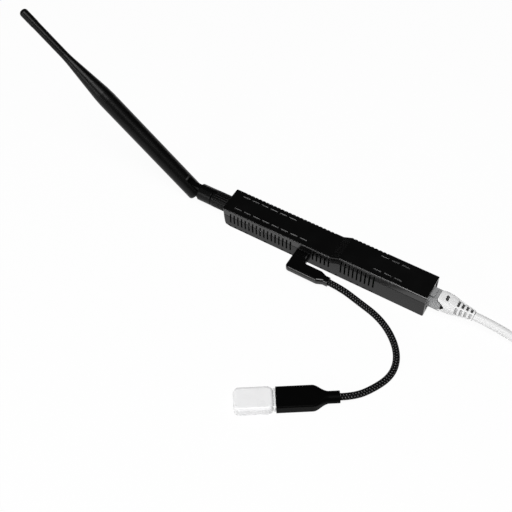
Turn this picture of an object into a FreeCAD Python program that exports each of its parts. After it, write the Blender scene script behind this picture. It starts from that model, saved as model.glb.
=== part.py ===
import FreeCAD, Part
import Sketcher
import math
import os
from FreeCAD import Placement, Rotation, Vector

# Smart home USB radio stick: a long two-shell housing, a swivelling and tilting antenna at one end,
# a right-angle USB lead in its side and a network lead in its other end.
# X runs along the stick towards the network end, Z is up, and the origin is the middle of the underside.
doc = FreeCAD.newDocument("radio_stick")
sheet = doc.addObject("Spreadsheet::Sheet", "sizes")
aliases = []
nodes = []


class Term:
    """A length in mm that also knows the sheet formula it comes from."""

    def __init__(self, value, formula):
        self.value = float(value)
        self.formula = formula

    def __add__(self, other):
        other = term(other)
        return Term(self.value + other.value, f"({self.formula} + {other.formula})")

    def __sub__(self, other):
        other = term(other)
        return Term(self.value - other.value, f"({self.formula} - {other.formula})")

    def __mul__(self, other):
        other = term(other)
        return Term(self.value * other.value, f"({self.formula} * {other.formula})")

    def __truediv__(self, other):
        other = term(other)
        return Term(self.value / other.value, f"({self.formula} / {other.formula})")

    def __rsub__(self, other):
        return term(other) - self

    def __neg__(self):
        return Term(-self.value, f"(0 - {self.formula})")

    __radd__ = __add__
    __rmul__ = __mul__


def term(number):
    """Any plain number as a Term."""
    return number if isinstance(number, Term) else Term(number, f"({float(number):.6f})")


def size(alias, number):
    """One driving dimension: a row of the sheet, and the Term that stands for it."""
    aliases.append(alias)
    row = len(aliases)
    sheet.set(f"A{row}", alias.replace("_", " "))
    sheet.set(f"B{row}", str(number))
    sheet.setAlias(f"B{row}", alias)
    return Term(number, f"sizes.{alias}")


def bind(thing, name, amount):
    """Set one property of an object through the sheet."""
    thing.setExpression(name, term(amount).formula)


def keep(thing, label):
    """Mark an object as a finished piece, whose label names its file."""
    thing.Label = label
    nodes.append(thing)
    return thing


# Housing
case_length = size("case_length", 151.5)
case_width = size("case_width", 21.2)
low_height = size("low_height", 15.8)
high_height = size("high_height", 19.0)
ramp_foot_from_end = size("ramp_foot_from_end", 83.2)
ramp_head_from_end = size("ramp_head_from_end", 89.6)
wall = size("wall", 1.4)
floor_thickness = size("floor_thickness", 1.4)
roof_thickness = size("roof_thickness", 1.4)
skirt_depth = size("skirt_depth", 5.0)
skirt_draft = size("skirt_draft", 0.7)
seam_step = size("seam_step", 0.15)
top_edge_round = size("top_edge_round", 0.7)
end_lean = size("end_lean", 2.0)
toe_rise = size("toe_rise", 3.2)
toe_run = size("toe_run", 3.6)
corner_round = size("corner_round", 2.4)
tail_corner_round = size("tail_corner_round", 0.8)
seat_gap = size("seat_gap", 0.1)

# Vents and slots
vent_width = size("vent_width", 1.15)
vent_pitch = size("vent_pitch", 2.955)
vent_foot = size("vent_foot", 4.7)
low_vent_below_top = size("low_vent_below_top", 2.2)
high_vent_below_top = size("high_vent_below_top", 1.5)
far_groove_depth = size("far_groove_depth", 0.75)
near_low_vent_first = size("near_low_vent_first", 6.7)
near_ramp_vent_first = size("near_ramp_vent_first", 71.1)
near_high_vent_first = size("near_high_vent_first", 91.9)
far_low_vent_first = size("far_low_vent_first", 8.7)
far_high_vent_first = size("far_high_vent_first", 91.2)
ramp_vent_lift = size("ramp_vent_lift", 1.0)
ramp_vent_stretch = size("ramp_vent_stretch", 0.5)
high_vent_lift = size("high_vent_lift", 0.9)
slot_length = size("slot_length", 5.5)
slot_width = size("slot_width", 0.95)
slot_pitch = size("slot_pitch", 7.3)
slot_row_offset = size("slot_row_offset", 5.75)
slot_first = size("slot_first", 7.2)
high_slot_first = size("high_slot_first", 112.4)
low_slot_width = size("low_slot_width", 2.0)
low_slot_reach = size("low_slot_reach", 2.4)
low_slot_foot = size("low_slot_foot", 0.35)
low_slot_head = size("low_slot_head", 1.55)

# Circuit board and what stands on it
board_thickness = size("board_thickness", 1.6)
board_lift = size("board_lift", 1.2)
board_side_gap = size("board_side_gap", 0.3)
boss_radius = size("boss_radius", 2.2)
boss_hole_radius = size("boss_hole_radius", 0.8)
screw_head_radius = size("screw_head_radius", 1.8)
screw_head_height = size("screw_head_height", 1.2)
mesh_length = size("mesh_length", 25.0)
mesh_width = size("mesh_width", 15.6)
wireless_length = size("wireless_length", 15.0)
wireless_width = size("wireless_width", 12.6)
wireless_side_gap = size("wireless_side_gap", 0.9)
module_screw_gap = size("module_screw_gap", 1.9)
module_gap = size("module_gap", 0.6)
bridge_side = size("bridge_side", 5.0)
bridge_height = size("bridge_height", 0.9)
bridge_side_gap = size("bridge_side_gap", 2.1)
bridge_gap = size("bridge_gap", 7.2)
network_chip_side = size("network_chip_side", 7.0)
network_chip_height = size("network_chip_height", 1.0)
chip_gap = size("chip_gap", 1.8)
part_gap = size("part_gap", 1.3)
module_board_thickness = size("module_board_thickness", 0.8)
module_can_height = size("module_can_height", 2.3)
module_bare_end = size("module_bare_end", 7.0)
module_can_margin = size("module_can_margin", 1.2)
module_can_shift = size("module_can_shift", 2.6)
capacitor_side_gap = size("capacitor_side_gap", 1.4)
capacitor_radius = size("capacitor_radius", 4.0)
capacitor_height = size("capacitor_height", 10.2)
capacitor_foot_half = size("capacitor_foot_half", 4.2)
capacitor_foot_height = size("capacitor_foot_height", 0.9)
bobbin_half_length = size("bobbin_half_length", 6.0)
bobbin_half_width = size("bobbin_half_width", 5.6)
bobbin_height = size("bobbin_height", 8.0)
core_half_length = size("core_half_length", 7.0)
core_half_width = size("core_half_width", 4.2)
core_lift = size("core_lift", 1.6)
core_height = size("core_height", 8.0)
led_setback = size("led_setback", 11.5)
led_pitch = size("led_pitch", 2.2)
led_length = size("led_length", 1.2)
led_width = size("led_width", 2.0)
led_height = size("led_height", 0.9)
boss_inset = size("boss_inset", 12.0)
boss_rear_inset = size("boss_rear_inset", 28.8)
boss_side = size("boss_side", 6.2)

# Network socket and plug
jack_length = size("jack_length", 21.4)
jack_side_gap = size("jack_side_gap", 0.5)
jack_roof_gap = size("jack_roof_gap", 0.1)
jack_recess = size("jack_recess", 0.6)
plug_width = size("plug_width", 11.68)
plug_height = size("plug_height", 6.5)
plug_length = size("plug_length", 21.5)
plug_shown = size("plug_shown", 8.2)
plug_lift = size("plug_lift", 1.8)
plug_gap = size("plug_gap", 0.15)
latch_width = size("latch_width", 6.2)
latch_slot_height = size("latch_slot_height", 3.0)
latch_thickness = size("latch_thickness", 1.0)
latch_rise = size("latch_rise", 2.9)
latch_bend = size("latch_bend", 8.0)
latch_end_inset = size("latch_end_inset", 5.4)
latch_root = size("latch_root", 0.4)
plug_pocket_from = size("plug_pocket_from", 11.18)
plug_skin = size("plug_skin", 0.8)
boot_start = size("boot_start", 18.2)
boot_sleeve_length = size("boot_sleeve_length", 24.3)
boot_hood_rise = size("boot_hood_rise", 3.2)
boot_rib_pitch = size("boot_rib_pitch", 3.0)
boot_rib_gap = size("boot_rib_gap", 1.3)
contact_pitch = size("contact_pitch", 1.02)
contact_width = size("contact_width", 0.36)
contact_slot_length = size("contact_slot_length", 5.2)
contact_height = size("contact_height", 1.4)
contact_fit = size("contact_fit", 0.06)
contact_inset = size("contact_inset", 0.25)

# USB ports and plugs
port_from_end = size("port_from_end", 63.45)
usb_c_width = size("usb_c_width", 8.94)
usb_c_height = size("usb_c_height", 3.2)
usb_c_depth = size("usb_c_depth", 7.35)
usb_c_sheet = size("usb_c_sheet", 0.3)
usb_c_fit = size("usb_c_fit", 0.06)
port_clearance = size("port_clearance", 0.25)
tongue_back_depth = size("tongue_back_depth", 1.0)
tongue_back_inset = size("tongue_back_inset", 0.9)
tongue_blade_half_width = size("tongue_blade_half_width", 3.3)
tongue_blade_thickness = size("tongue_blade_thickness", 0.7)
tongue_blade_setback = size("tongue_blade_setback", 1.2)
elbow_width = size("elbow_width", 10.6)
elbow_height = size("elbow_height", 5.6)
elbow_reach = size("elbow_reach", 15.0)
elbow_body_width = size("elbow_body_width", 8.9)
elbow_body_length = size("elbow_body_length", 23.6)
elbow_neck_length = size("elbow_neck_length", 3.2)
elbow_taper_length = size("elbow_taper_length", 4.0)
elbow_neck_width = size("elbow_neck_width", 5.6)
elbow_edge_round = size("elbow_edge_round", 1.8)
elbow_corner_round = size("elbow_corner_round", 2.6)
elbow_bend_round = size("elbow_bend_round", 1.2)
elbow_neck_round = size("elbow_neck_round", 2.4)
usb_a_width = size("usb_a_width", 12.0)
usb_a_height = size("usb_a_height", 4.5)
usb_a_reach = size("usb_a_reach", 18.75)
usb_a_sheet = size("usb_a_sheet", 0.3)
usb_a_corner_round = size("usb_a_corner_round", 0.6)
usb_a_tongue_height = size("usb_a_tongue_height", 1.9)
usb_a_tongue_setback = size("usb_a_tongue_setback", 0.8)
grip_width = size("grip_width", 14.4)
grip_height = size("grip_height", 8.0)
grip_length = size("grip_length", 23.1)
grip_shoulder = size("grip_shoulder", 8.2)
grip_neck_length = size("grip_neck_length", 7.0)
grip_neck_width = size("grip_neck_width", 7.4)
grip_corner_round = size("grip_corner_round", 0.9)
grip_neck_round = size("grip_neck_round", 3.4)
grip_flat_end = size("grip_flat_end", 1.2)
cap_width = size("cap_width", 15.6)
cap_height = size("cap_height", 8.6)
cap_length = size("cap_length", 24.0)
cap_stand_off = size("cap_stand_off", 1.5)
cap_corner_round = size("cap_corner_round", 3.6)
cap_edge_round = size("cap_edge_round", 1.9)
cap_fit = size("cap_fit", 0.2)

# Antenna
antenna_height = size("antenna_height", 8.4)
jack_thread_radius = size("jack_thread_radius", 3.1)
jack_thread_length = size("jack_thread_length", 9.8)
jack_square_length = size("jack_square_length", 6.5)
contact_bore_radius = size("contact_bore_radius", 1.2)
contact_bore_depth = size("contact_bore_depth", 5.0)
nut_radius = size("nut_radius", 6.1)
nut_length = size("nut_length", 13.4)
nut_gap = size("nut_gap", 0.2)
nut_bore_radius = size("nut_bore_radius", 3.3)
nut_bore_depth = size("nut_bore_depth", 10.2)
nut_flute_radius = size("nut_flute_radius", 0.7)
nut_flute_offset = size("nut_flute_offset", 0.434)
nut_plain_length = size("nut_plain_length", 2.4)
barrel_radius = size("barrel_radius", 6.0)
barrel_length = size("barrel_length", 10.8)
barrel_gap = size("barrel_gap", 0.35)
barrel_bevel = size("barrel_bevel", 0.4)
stem_radius = size("stem_radius", 2.6)
stem_length = size("stem_length", 3.2)
stem_clearance = size("stem_clearance", 0.3)
pivot_from_barrel = size("pivot_from_barrel", 8.3)
tongue_width = size("tongue_width", 4.2)
tongue_radius = size("tongue_radius", 5.5)
fork_side_gap = size("fork_side_gap", 0.3)
fork_reach = size("fork_reach", 6.3)
fork_slot_depth = size("fork_slot_depth", 8.0)
pin_radius = size("pin_radius", 1.5)
pin_clearance = size("pin_clearance", 0.05)
pin_cover = size("pin_cover", 1.3)
whip_radius = size("whip_radius", 6.15)
whip_thick_length = size("whip_thick_length", 86.0)
whip_taper_length = size("whip_taper_length", 35.0)
whip_foot_bevel = size("whip_foot_bevel", 1.6)
whip_shoulder_blend = size("whip_shoulder_blend", 2.8)
whip_shoulder_drop = size("whip_shoulder_drop", 0.25)
whip_thin_radius = size("whip_thin_radius", 2.8)
whip_length = size("whip_length", 150.0)
tip_radius = size("tip_radius", 2.95)
tip_length = size("tip_length", 12.0)
tip_round = size("tip_round", 2.4)
whip_angle = size("whip_angle", 41.0)

# Leads
usb_cord_radius = size("usb_cord_radius", 2.2)
cable_radius = size("cable_radius", 2.8)
coil_inner_radius = size("coil_inner_radius", 18.4)
coil_outer_radius = size("coil_outer_radius", 35.2)
coil_top_inner_radius = size("coil_top_inner_radius", 23.8)
coil_top_outer_radius = size("coil_top_outer_radius", 29.8)
coil_side_height = size("coil_side_height", 3.9)
coil_height = size("coil_height", 15.4)
doc.recompute()

# Places worked out from the sizes
end_a = case_length * -0.5
end_b = case_length * 0.5
half_width = case_width * 0.5
seam_low = low_height - skirt_depth
seam_high = high_height - skirt_depth
ramp_foot = end_a + ramp_foot_from_end
ramp_head = end_a + ramp_head_from_end
board_top = floor_thickness + board_lift + board_thickness
boss_places = (end_a + boss_inset, end_b - boss_rear_inset)
port_x = end_a + port_from_end
usb_c_z = board_top + usb_c_height * 0.5
jack_bottom = board_top
jack_top = high_height - roof_thickness - jack_roof_gap
jack_front = end_b - jack_recess
jack_back = jack_front - jack_length
jack_half_width = half_width - skirt_draft - wall - jack_side_gap
inner_side = half_width - wall
wireless_y = inner_side - wireless_side_gap - wireless_width * 0.5
bridge_y = inner_side - bridge_side_gap - bridge_side * 0.5
capacitor_y = inner_side - capacitor_side_gap - capacitor_foot_half
mesh_x = end_a + boss_inset + screw_head_radius + module_screw_gap + mesh_length * 0.5
wireless_x = mesh_x + (mesh_length + wireless_length) * 0.5 + module_gap
bridge_x = wireless_x + (wireless_length + bridge_side) * 0.5 + bridge_gap
network_chip_x = bridge_x + (bridge_side + network_chip_side) * 0.5 + chip_gap
led_start = jack_back - led_setback
capacitor_x = led_start - part_gap - capacitor_foot_half
transformer_x = capacitor_x - capacitor_foot_half - part_gap - core_half_length
plug_z = jack_bottom + plug_lift + plug_height * 0.5
plug_tip_x = end_b + plug_shown - plug_length
nut_face = end_a - nut_gap
barrel_face = nut_face - nut_length - barrel_gap
barrel_end = barrel_face - barrel_length
pivot_x = barrel_end - pivot_from_barrel

# How far cutting shapes reach past the faces they cut
overrun = 5
clear = 1


def end_face_x(height):
    """Where the leaning antenna end stands at a height."""
    return end_a + end_lean * (1 - term(height) / low_height)


def plane_of(body, role):
    """One of a body's own origin planes or axes."""
    return next(feature for feature in body.Origin.OriginFeatures if feature.Role == role)


def new_sketch(body, name, role, offset=0):
    """A sketch on one of the body's own planes, moved along the plane's normal."""
    sketch = body.newObject("Sketcher::SketchObject", name)
    sketch.AttachmentSupport = [(plane_of(body, role), "")]
    sketch.MapMode = "FlatFace"
    if term(offset).value:
        bind(sketch, "AttachmentOffset.Base.z", offset)
    return sketch


def hold(sketch, kind, geometry, point, amount):
    """Tie one point of a sketch to the sketch's origin by a bound distance."""
    index = sketch.addConstraint(Sketcher.Constraint(kind, -1, 1, geometry, point, amount.value))
    bind(sketch, f"Constraints[{index}]", amount)


def polygon(body, name, role, corners, offset=0):
    """A closed outline whose corners are each held by two bound distances."""
    sketch = new_sketch(body, name, role, offset)
    corners = [(term(across), term(up)) for across, up in corners]
    points = [Vector(across.value, up.value, 0) for across, up in corners]
    last = len(points) - 1
    for index, point in enumerate(points):
        sketch.addGeometry(Part.LineSegment(point, points[0 if index == last else index + 1]))
    for index, (across, up) in enumerate(corners):
        sketch.addConstraint(Sketcher.Constraint("Coincident", index - 1 if index else last, 2, index, 1))
        hold(sketch, "DistanceX", index, 1, across)
        hold(sketch, "DistanceY", index, 1, up)
    return sketch


def rectangle(body, name, role, low, high, offset=0):
    """A rectangle from its low corner to its high corner."""
    corners = [low, (high[0], low[1]), high, (low[0], high[1])]
    return polygon(body, name, role, corners, offset)


def rounded_rectangle(body, name, role, width, height, radius, offset=0, middle=(0, 0)):
    """A rectangle with round corners about a middle point."""
    sketch = new_sketch(body, name, role, offset)
    width, height, radius = term(width), term(height), term(radius)
    mid_x, mid_y = term(middle[0]), term(middle[1])
    right, top = mid_x + width * 0.5, mid_y + height * 0.5
    left, bottom = mid_x - width * 0.5, mid_y - height * 0.5
    r, x0, x1, y0, y1 = radius.value, left.value, right.value, bottom.value, top.value
    sides = [
        ((x0 + r, y0), (x1 - r, y0)),
        ((x1, y0 + r), (x1, y1 - r)),
        ((x1 - r, y1), (x0 + r, y1)),
        ((x0, y1 - r), (x0, y0 + r)),
    ]
    for start, end in sides:
        sketch.addGeometry(Part.LineSegment(Vector(*start, 0), Vector(*end, 0)))
    centres = [(x1 - r, y0 + r, -90), (x1 - r, y1 - r, 0), (x0 + r, y1 - r, 90), (x0 + r, y0 + r, 180)]
    for across, up, start in centres:
        circle = Part.Circle(Vector(across, up, 0), Vector(0, 0, 1), r)
        sketch.addGeometry(Part.ArcOfCircle(circle, math.radians(start), math.radians(start + 90)))
    for side in range(4):
        sketch.addConstraint(Sketcher.Constraint("Tangent", side, 2, 4 + side, 1))
        sketch.addConstraint(Sketcher.Constraint("Tangent", 4 + side, 2, (side + 1) % 4, 1))
        if side:
            sketch.addConstraint(Sketcher.Constraint("Equal", 4, 4 + side))
    sketch.addConstraint(Sketcher.Constraint("Horizontal", 0))
    hold(sketch, "DistanceY", 0, 1, bottom)
    hold(sketch, "DistanceX", 1, 1, right)
    hold(sketch, "DistanceY", 2, 1, top)
    hold(sketch, "DistanceX", 3, 1, left)
    index = sketch.addConstraint(Sketcher.Constraint("Radius", 4, r))
    bind(sketch, f"Constraints[{index}]", radius)
    return sketch


def circle_sketch(body, name, role, radius, offset=0, middle=(0, 0)):
    """A circle about a held middle point."""
    sketch = new_sketch(body, name, role, offset)
    mid_x, mid_y = term(middle[0]), term(middle[1])
    centre = Vector(mid_x.value, mid_y.value, 0)
    sketch.addGeometry(Part.Circle(centre, Vector(0, 0, 1), term(radius).value))
    hold(sketch, "DistanceX", 0, 3, mid_x)
    hold(sketch, "DistanceY", 0, 3, mid_y)
    index = sketch.addConstraint(Sketcher.Constraint("Radius", 0, term(radius).value))
    bind(sketch, f"Constraints[{index}]", radius)
    return sketch


def pad(body, name, sketch, length, side="One side", reverse=False):
    """Extrude a sketch into the body."""
    feature = body.newObject("PartDesign::Pad", name)
    feature.Profile = sketch
    feature.SideType = side
    feature.Reversed = reverse
    bind(feature, "Length", length)
    return feature


def pocket(body, name, sketch, length=None, side="One side", reverse=False):
    """Cut a sketch out of the body, all the way through when it has no length."""
    feature = body.newObject("PartDesign::Pocket", name)
    feature.Profile = sketch
    feature.SideType = side
    feature.Reversed = reverse
    if length is None:
        feature.Type = "ThroughAll"
    else:
        bind(feature, "Length", length)
    return feature


def edges_where(feature, test):
    """Names of a feature's edges whose middle point passes a test."""
    doc.recompute()
    names = []
    for index, edge in enumerate(feature.Shape.Edges):
        middle = edge.valueAt((edge.FirstParameter + edge.LastParameter) / 2)
        if test(edge, middle):
            names.append(f"Edge{index + 1}")
    return names


def soften(body, name, feature, radius, test):
    """Round the edges of a feature that pass a test."""
    fillet = body.newObject("PartDesign::Fillet", name)
    fillet.Base = (feature, edges_where(feature, test))
    bind(fillet, "Radius", radius)
    return fillet


def bevel(body, name, feature, width):
    """Take a small flat off the rims of a round bar."""
    chamfer = body.newObject("PartDesign::Chamfer", name)
    chamfer.Base = (feature, edges_where(feature, lambda edge, middle: isinstance(edge.Curve, Part.Circle)))
    bind(chamfer, "Size", width)
    return chamfer


def near(value, amount, slack=0.02):
    """Whether a number is at a Term's value."""
    return abs(value - term(amount).value) < slack


def block(name, low, high):
    """A box between two corners."""
    box = doc.addObject("Part::Box", name)
    for axis, side, start, end in zip("xyz", ("Length", "Width", "Height"), low, high):
        bind(box, side, term(end) - start)
        bind(box, f"Placement.Base.{axis}", start)
    return box


def rod(name, start, direction, radius, length):
    """A cylinder from a start point along X, Y or Z."""
    turns = {"X": Rotation(Vector(0, 1, 0), 90), "Y": Rotation(Vector(1, 0, 0), -90), "Z": Rotation()}
    cylinder = doc.addObject("Part::Cylinder", name)
    cylinder.Placement = Placement(Vector(), turns[direction])
    bind(cylinder, "Radius", radius)
    bind(cylinder, "Height", length)
    for axis, amount in zip("xyz", start):
        bind(cylinder, f"Placement.Base.{axis}", amount)
    return cylinder


def join(name, *pieces):
    """Several shapes as one."""
    fused = doc.addObject("Part::MultiFuse", name)
    fused.Shapes = list(pieces)
    fused.Refine = True
    return fused


def remove(name, base, *tools):
    """A shape with others cut out of it."""
    cut = doc.addObject("Part::Cut", name)
    cut.Base = base
    cut.Tool = tools[0] if len(tools) == 1 else join(name + "_tools", *tools)
    return cut


def group(name, pieces):
    """Several separate shapes kept together."""
    compound = doc.addObject("Part::Compound", name)
    compound.Links = pieces
    return compound


def side_span(side, inner, outer):
    """The two ends of a stretch across one long side, lower one first; side is -1 for the near side."""
    return (-outer, -inner) if side < 0 else (inner, outer)


def put(thing, base, turn=0, about=(0, 0, 1)):
    """Stand a piece that was made in its own frame where it belongs."""
    thing.Placement = Placement(Vector(), Rotation(Vector(*about), term(turn).value))
    for axis, amount in zip("xyz", base):
        bind(thing, f"Placement.Base.{axis}", amount)


def new_body(name):
    """An empty body."""
    return doc.addObject("PartDesign::Body", name)


def plan_block(body):
    """The housing's plan, with larger round corners at the antenna end, raised to its full height."""
    sketch = rectangle(body, "plan", "XY_Plane", (end_a, -half_width), (end_b, half_width))
    block_pad = pad(body, "plan_block", sketch, high_height)
    head = soften(body, "antenna_corners", block_pad, corner_round,
                  lambda edge, middle: near(middle.x, end_a) and near(middle.z, high_height * 0.5))
    return soften(body, "network_corners", head, tail_corner_round,
                  lambda edge, middle: near(middle.x, end_b) and near(middle.z, high_height * 0.5))


def lean_end(body):
    """The antenna end leans in towards the underside and turns up at its toe."""
    outline = [
        (end_a - overrun, -overrun),
        (end_face_x(0) + toe_run, -overrun),
        (end_face_x(0) + toe_run, 0),
        (end_face_x(toe_rise) + toe_run * 0.22, toe_rise * 0.3),
        (end_face_x(toe_rise), toe_rise),
        (end_face_x(high_height), high_height),
        (end_face_x(high_height), high_height + overrun),
        (end_a - overrun, high_height + overrun),
    ]
    sketch = polygon(body, "end_profile", "XZ_Plane", outline)
    return pocket(body, "leaning_end", sketch, case_width * 2, "Symmetric")


def wall_vents():
    """The upright vents of both long walls, and the far top edge's shallow grooves above its own vents."""
    low_head = low_height - low_vent_below_top
    high_head = high_height - high_vent_below_top
    rows = [
        ("near_low", -1, near_low_vent_first, 17, vent_foot, low_head),
        ("near_ramp", -1, near_ramp_vent_first, 5, vent_foot + ramp_vent_lift, low_head + ramp_vent_stretch),
        ("near_high", -1, near_high_vent_first, 9, vent_foot + high_vent_lift, high_head),
        ("far_low", 1, far_low_vent_first, 24, vent_foot, low_head),
        ("far_high", 1, far_high_vent_first, 9, vent_foot + high_vent_lift, high_head),
    ]
    vents = []
    top_edge = half_width - skirt_draft
    for name, side, first, count, foot, head in rows:
        low, high = side_span(side, top_edge - wall, half_width + clear)
        for index in range(count):
            start = end_a + first + vent_pitch * index - vent_width * 0.5
            end = start + vent_width
            vents.append(block(f"vent_{name}_{index}", (start, low, foot), (end, high, head)))
            if side > 0:
                groove = block(f"groove_{name}_{index}", (start, top_edge - far_groove_depth, head - 1),
                               (end, high, high_height + clear))
                vents.append(groove)
    return group("wall_vents", vents)


def low_slots():
    """The short slots along each lower edge, just above the underside."""
    rows = [(5.6, 4.5, 4), (28.5, 5.6, 2), (47.6, 6.2, 4), (77.7, 5.7, 3), (100.0, 4.8, 4)]
    slots = []
    for first, pitch, count in rows:
        for index in range(count):
            start = end_a + first + pitch * index - low_slot_width * 0.5
            for side in (-1, 1):
                low, high = side_span(side, half_width - low_slot_reach, half_width + clear)
                slots.append(block("low_slot", (start, low, low_slot_foot),
                                   (start + low_slot_width, high, low_slot_head)))
    return group("low_slots", slots)


def roof_slots():
    """Two rows of slots through the roof, on both levels."""
    rows = [(-1, slot_first, 8), (1, slot_first, 6), (-1, high_slot_first, 3), (1, high_slot_first, 3)]
    slots = []
    for side, first, count in rows:
        middle = slot_row_offset * side
        for index in range(count):
            start = end_a + first + slot_pitch * index
            slots.append(block("roof_slot", (start, middle - slot_width * 0.5, low_height - wall * 2),
                               (start + slot_length, middle + slot_width * 0.5, high_height + clear)))
    return group("roof_slots", slots)


def end_openings(body):
    """The hole for the antenna jack and the window for the network socket."""
    hole = circle_sketch(body, "antenna_hole_outline", "YZ_Plane", jack_thread_radius + port_clearance, 0,
                         (0, antenna_height))
    pocket(body, "antenna_hole", hole, None, "One side", False)
    side = jack_half_width + port_clearance
    window = rectangle(body, "network_window_outline", "YZ_Plane", (-side, board_top - port_clearance),
                       (side, jack_top + seat_gap * 0.5), end_b - wall * 2)
    return pocket(body, "network_window", window, None, "One side", True)


def bottom_shell(vents):
    """The lower shell: a tray with vents, a USB opening and four board posts."""
    body = new_body("bottom_shell_body")
    plan_block(body)
    top = [
        (end_a - overrun, seam_low),
        (ramp_foot, seam_low),
        (ramp_head, seam_high),
        (end_b + overrun, seam_high),
        (end_b + overrun, high_height + overrun),
        (end_a - overrun, high_height + overrun),
    ]
    pocket(body, "below_seam", polygon(body, "seam", "XZ_Plane", top), case_width * 2, "Symmetric")
    lean_end(body)
    inside = rectangle(body, "tray", "XY_Plane", (end_a + end_lean + wall, wall - half_width),
                       (end_b - wall, half_width - wall), floor_thickness)
    pocket(body, "tray_hollow", inside, None, "One side", True)
    for index, along in enumerate(boss_places):
        for side in (-1, 1):
            name = f"post_{index}_{'near' if side < 0 else 'far'}"
            post = circle_sketch(body, name + "_outline", "XY_Plane", boss_radius, floor_thickness,
                                 (along, boss_side * side))
            pad(body, name, post, board_lift)
            bore = circle_sketch(body, name + "_bore_outline", "XY_Plane", boss_hole_radius, seat_gap * 4,
                                 (along, boss_side * side))
            pocket(body, name + "_bore", bore, None, "One side", True)
    port = rounded_rectangle(body, "usb_opening_outline", "XZ_Plane", usb_c_width + port_clearance * 2,
                             usb_c_height + port_clearance * 2, usb_c_height * 0.5, 0, (port_x, usb_c_z))
    pocket(body, "usb_opening", port, None, "One side", True)
    end_openings(body)
    return keep(remove("vented_tray", body, vents, low_slots()), "bottom_shell")


def top_cover(vents):
    """The upper shell: a stepped roof with slots, and a drafted skirt that follows the stepped seam."""
    body = new_body("top_cover_body")
    plan_block(body)
    under = [
        (end_a - overrun, -overrun),
        (end_b + overrun, -overrun),
        (end_b + overrun, seam_high),
        (ramp_head, seam_high),
        (ramp_foot, seam_low),
        (end_a - overrun, seam_low),
    ]
    pocket(body, "above_seam", polygon(body, "seam", "XZ_Plane", under), case_width * 2, "Symmetric")
    over = [
        (end_a - overrun, low_height),
        (ramp_foot, low_height),
        (ramp_head, high_height),
        (ramp_head, high_height + overrun),
        (end_a - overrun, high_height + overrun),
    ]
    pocket(body, "step", polygon(body, "step_profile", "XZ_Plane", over), case_width * 2, "Symmetric")
    lean_end(body)
    for side in (-1, 1):
        name = "near" if side < 0 else "far"
        sections = []
        stations = [(end_a - overrun, seam_low, low_height), (ramp_foot, seam_low, low_height),
                    (ramp_head, seam_high, high_height), (end_b + overrun, seam_high, high_height)]
        for index, (along, seam, top) in enumerate(stations):
            edge = half_width - skirt_draft
            corners = [(half_width - seam_step, seam), (edge + top_edge_round * 0.1, top - top_edge_round * 0.9),
                       (edge - top_edge_round * 0.3, top - top_edge_round * 0.3),
                       (edge - top_edge_round * 0.9, top), (edge - top_edge_round * 0.9, top + 1),
                       (half_width + 2, top + 1), (half_width + 2, seam)]
            corners = [(across * side, up) for across, up in corners]
            sections.append(polygon(body, f"{name}_draft_{index}", "YZ_Plane", corners, along))
        loft = body.newObject("PartDesign::SubtractiveLoft", f"{name}_draft")
        loft.Profile = sections[0]
        loft.Sections = sections[1:]
        loft.Ruled = True
        body.Tip = loft
    inside = [
        (end_a + end_lean + wall, seam_low - 2),
        (end_b - wall, seam_low - 2),
        (end_b - wall, high_height - roof_thickness),
        (ramp_head, high_height - roof_thickness),
        (ramp_foot, low_height - roof_thickness),
        (end_a + end_lean + wall, low_height - roof_thickness),
    ]
    hollow = polygon(body, "roof_hollow_outline", "XZ_Plane", inside)
    pocket(body, "roof_hollow", hollow, (half_width - skirt_draft - wall) * 2, "Symmetric")
    end_openings(body)
    return keep(remove("vented_roof", body, vents, roof_slots()), "top_cover")


def main_board():
    """The circuit board, with its four screw holes."""
    half = half_width - wall - board_side_gap
    low = board_top - board_thickness
    start = end_a + end_lean + wall + board_side_gap
    plate = block("board_plate", (start, -half, low), (end_b - wall - board_side_gap, half, board_top))
    holes = []
    for index, along in enumerate(boss_places):
        for side in (-1, 1):
            name = f"board_hole_{index}_{'near' if side < 0 else 'far'}"
            holes.append(rod(name, (along, boss_side * side, low - 1), "Z",
                             boss_hole_radius + port_clearance, board_thickness + 2))
    return keep(remove("board", plate, *holes), "main_board")


def board_screws():
    """Four small screws that hold the board to its posts."""
    screws = []
    for index, along in enumerate(boss_places):
        for side in (-1, 1):
            name = f"screw_{index}_{'near' if side < 0 else 'far'}"
            foot = floor_thickness - seat_gap * 4
            shank = rod(name + "_shank", (along, boss_side * side, foot), "Z",
                        boss_hole_radius - seat_gap * 0.5, board_top - foot)
            head = rod(name + "_head", (along, boss_side * side, board_top), "Z", screw_head_radius,
                       screw_head_height)
            screws.append(join(name, shank, head))
    return keep(group("screws", screws), "board_screws")


def chip(name, label, middle, extent, height):
    """A low rectangular part that is soldered on the board."""
    low = (middle[0] - extent[0] * 0.5, middle[1] - extent[1] * 0.5, board_top)
    high = (middle[0] + extent[0] * 0.5, middle[1] + extent[1] * 0.5, board_top + height)
    return keep(block(name, low, high), label)


def shielded_module(name, label, middle, extent):
    """A radio module: a small board of its own under a metal can with round corners."""
    body = new_body(name)
    base = rectangle(body, "module_outline", "XY_Plane", (extent[0] * -0.5, extent[1] * -0.5),
                     (extent[0] * 0.5, extent[1] * 0.5))
    pad(body, "module_board", base, module_board_thickness)
    can = rounded_rectangle(body, "can_outline", "XY_Plane", extent[0] - module_bare_end,
                            extent[1] - module_can_margin, module_board_thickness, module_board_thickness,
                            (-module_can_shift, 0))
    pad(body, "can", can, module_can_height)
    put(body, (middle[0], middle[1], board_top))
    return keep(body, label)


def poe_capacitor():
    """A can capacitor of the network power supply."""
    x, half = capacitor_x, capacitor_foot_half
    can = rod("capacitor_can", (x, capacitor_y, board_top), "Z", capacitor_radius, capacitor_height)
    foot = block("capacitor_foot", (x - half, capacitor_y - half, board_top),
                 (x + half, capacitor_y + half, board_top + capacitor_foot_height))
    return keep(join("capacitor", can, foot), "poe_capacitor")


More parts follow.
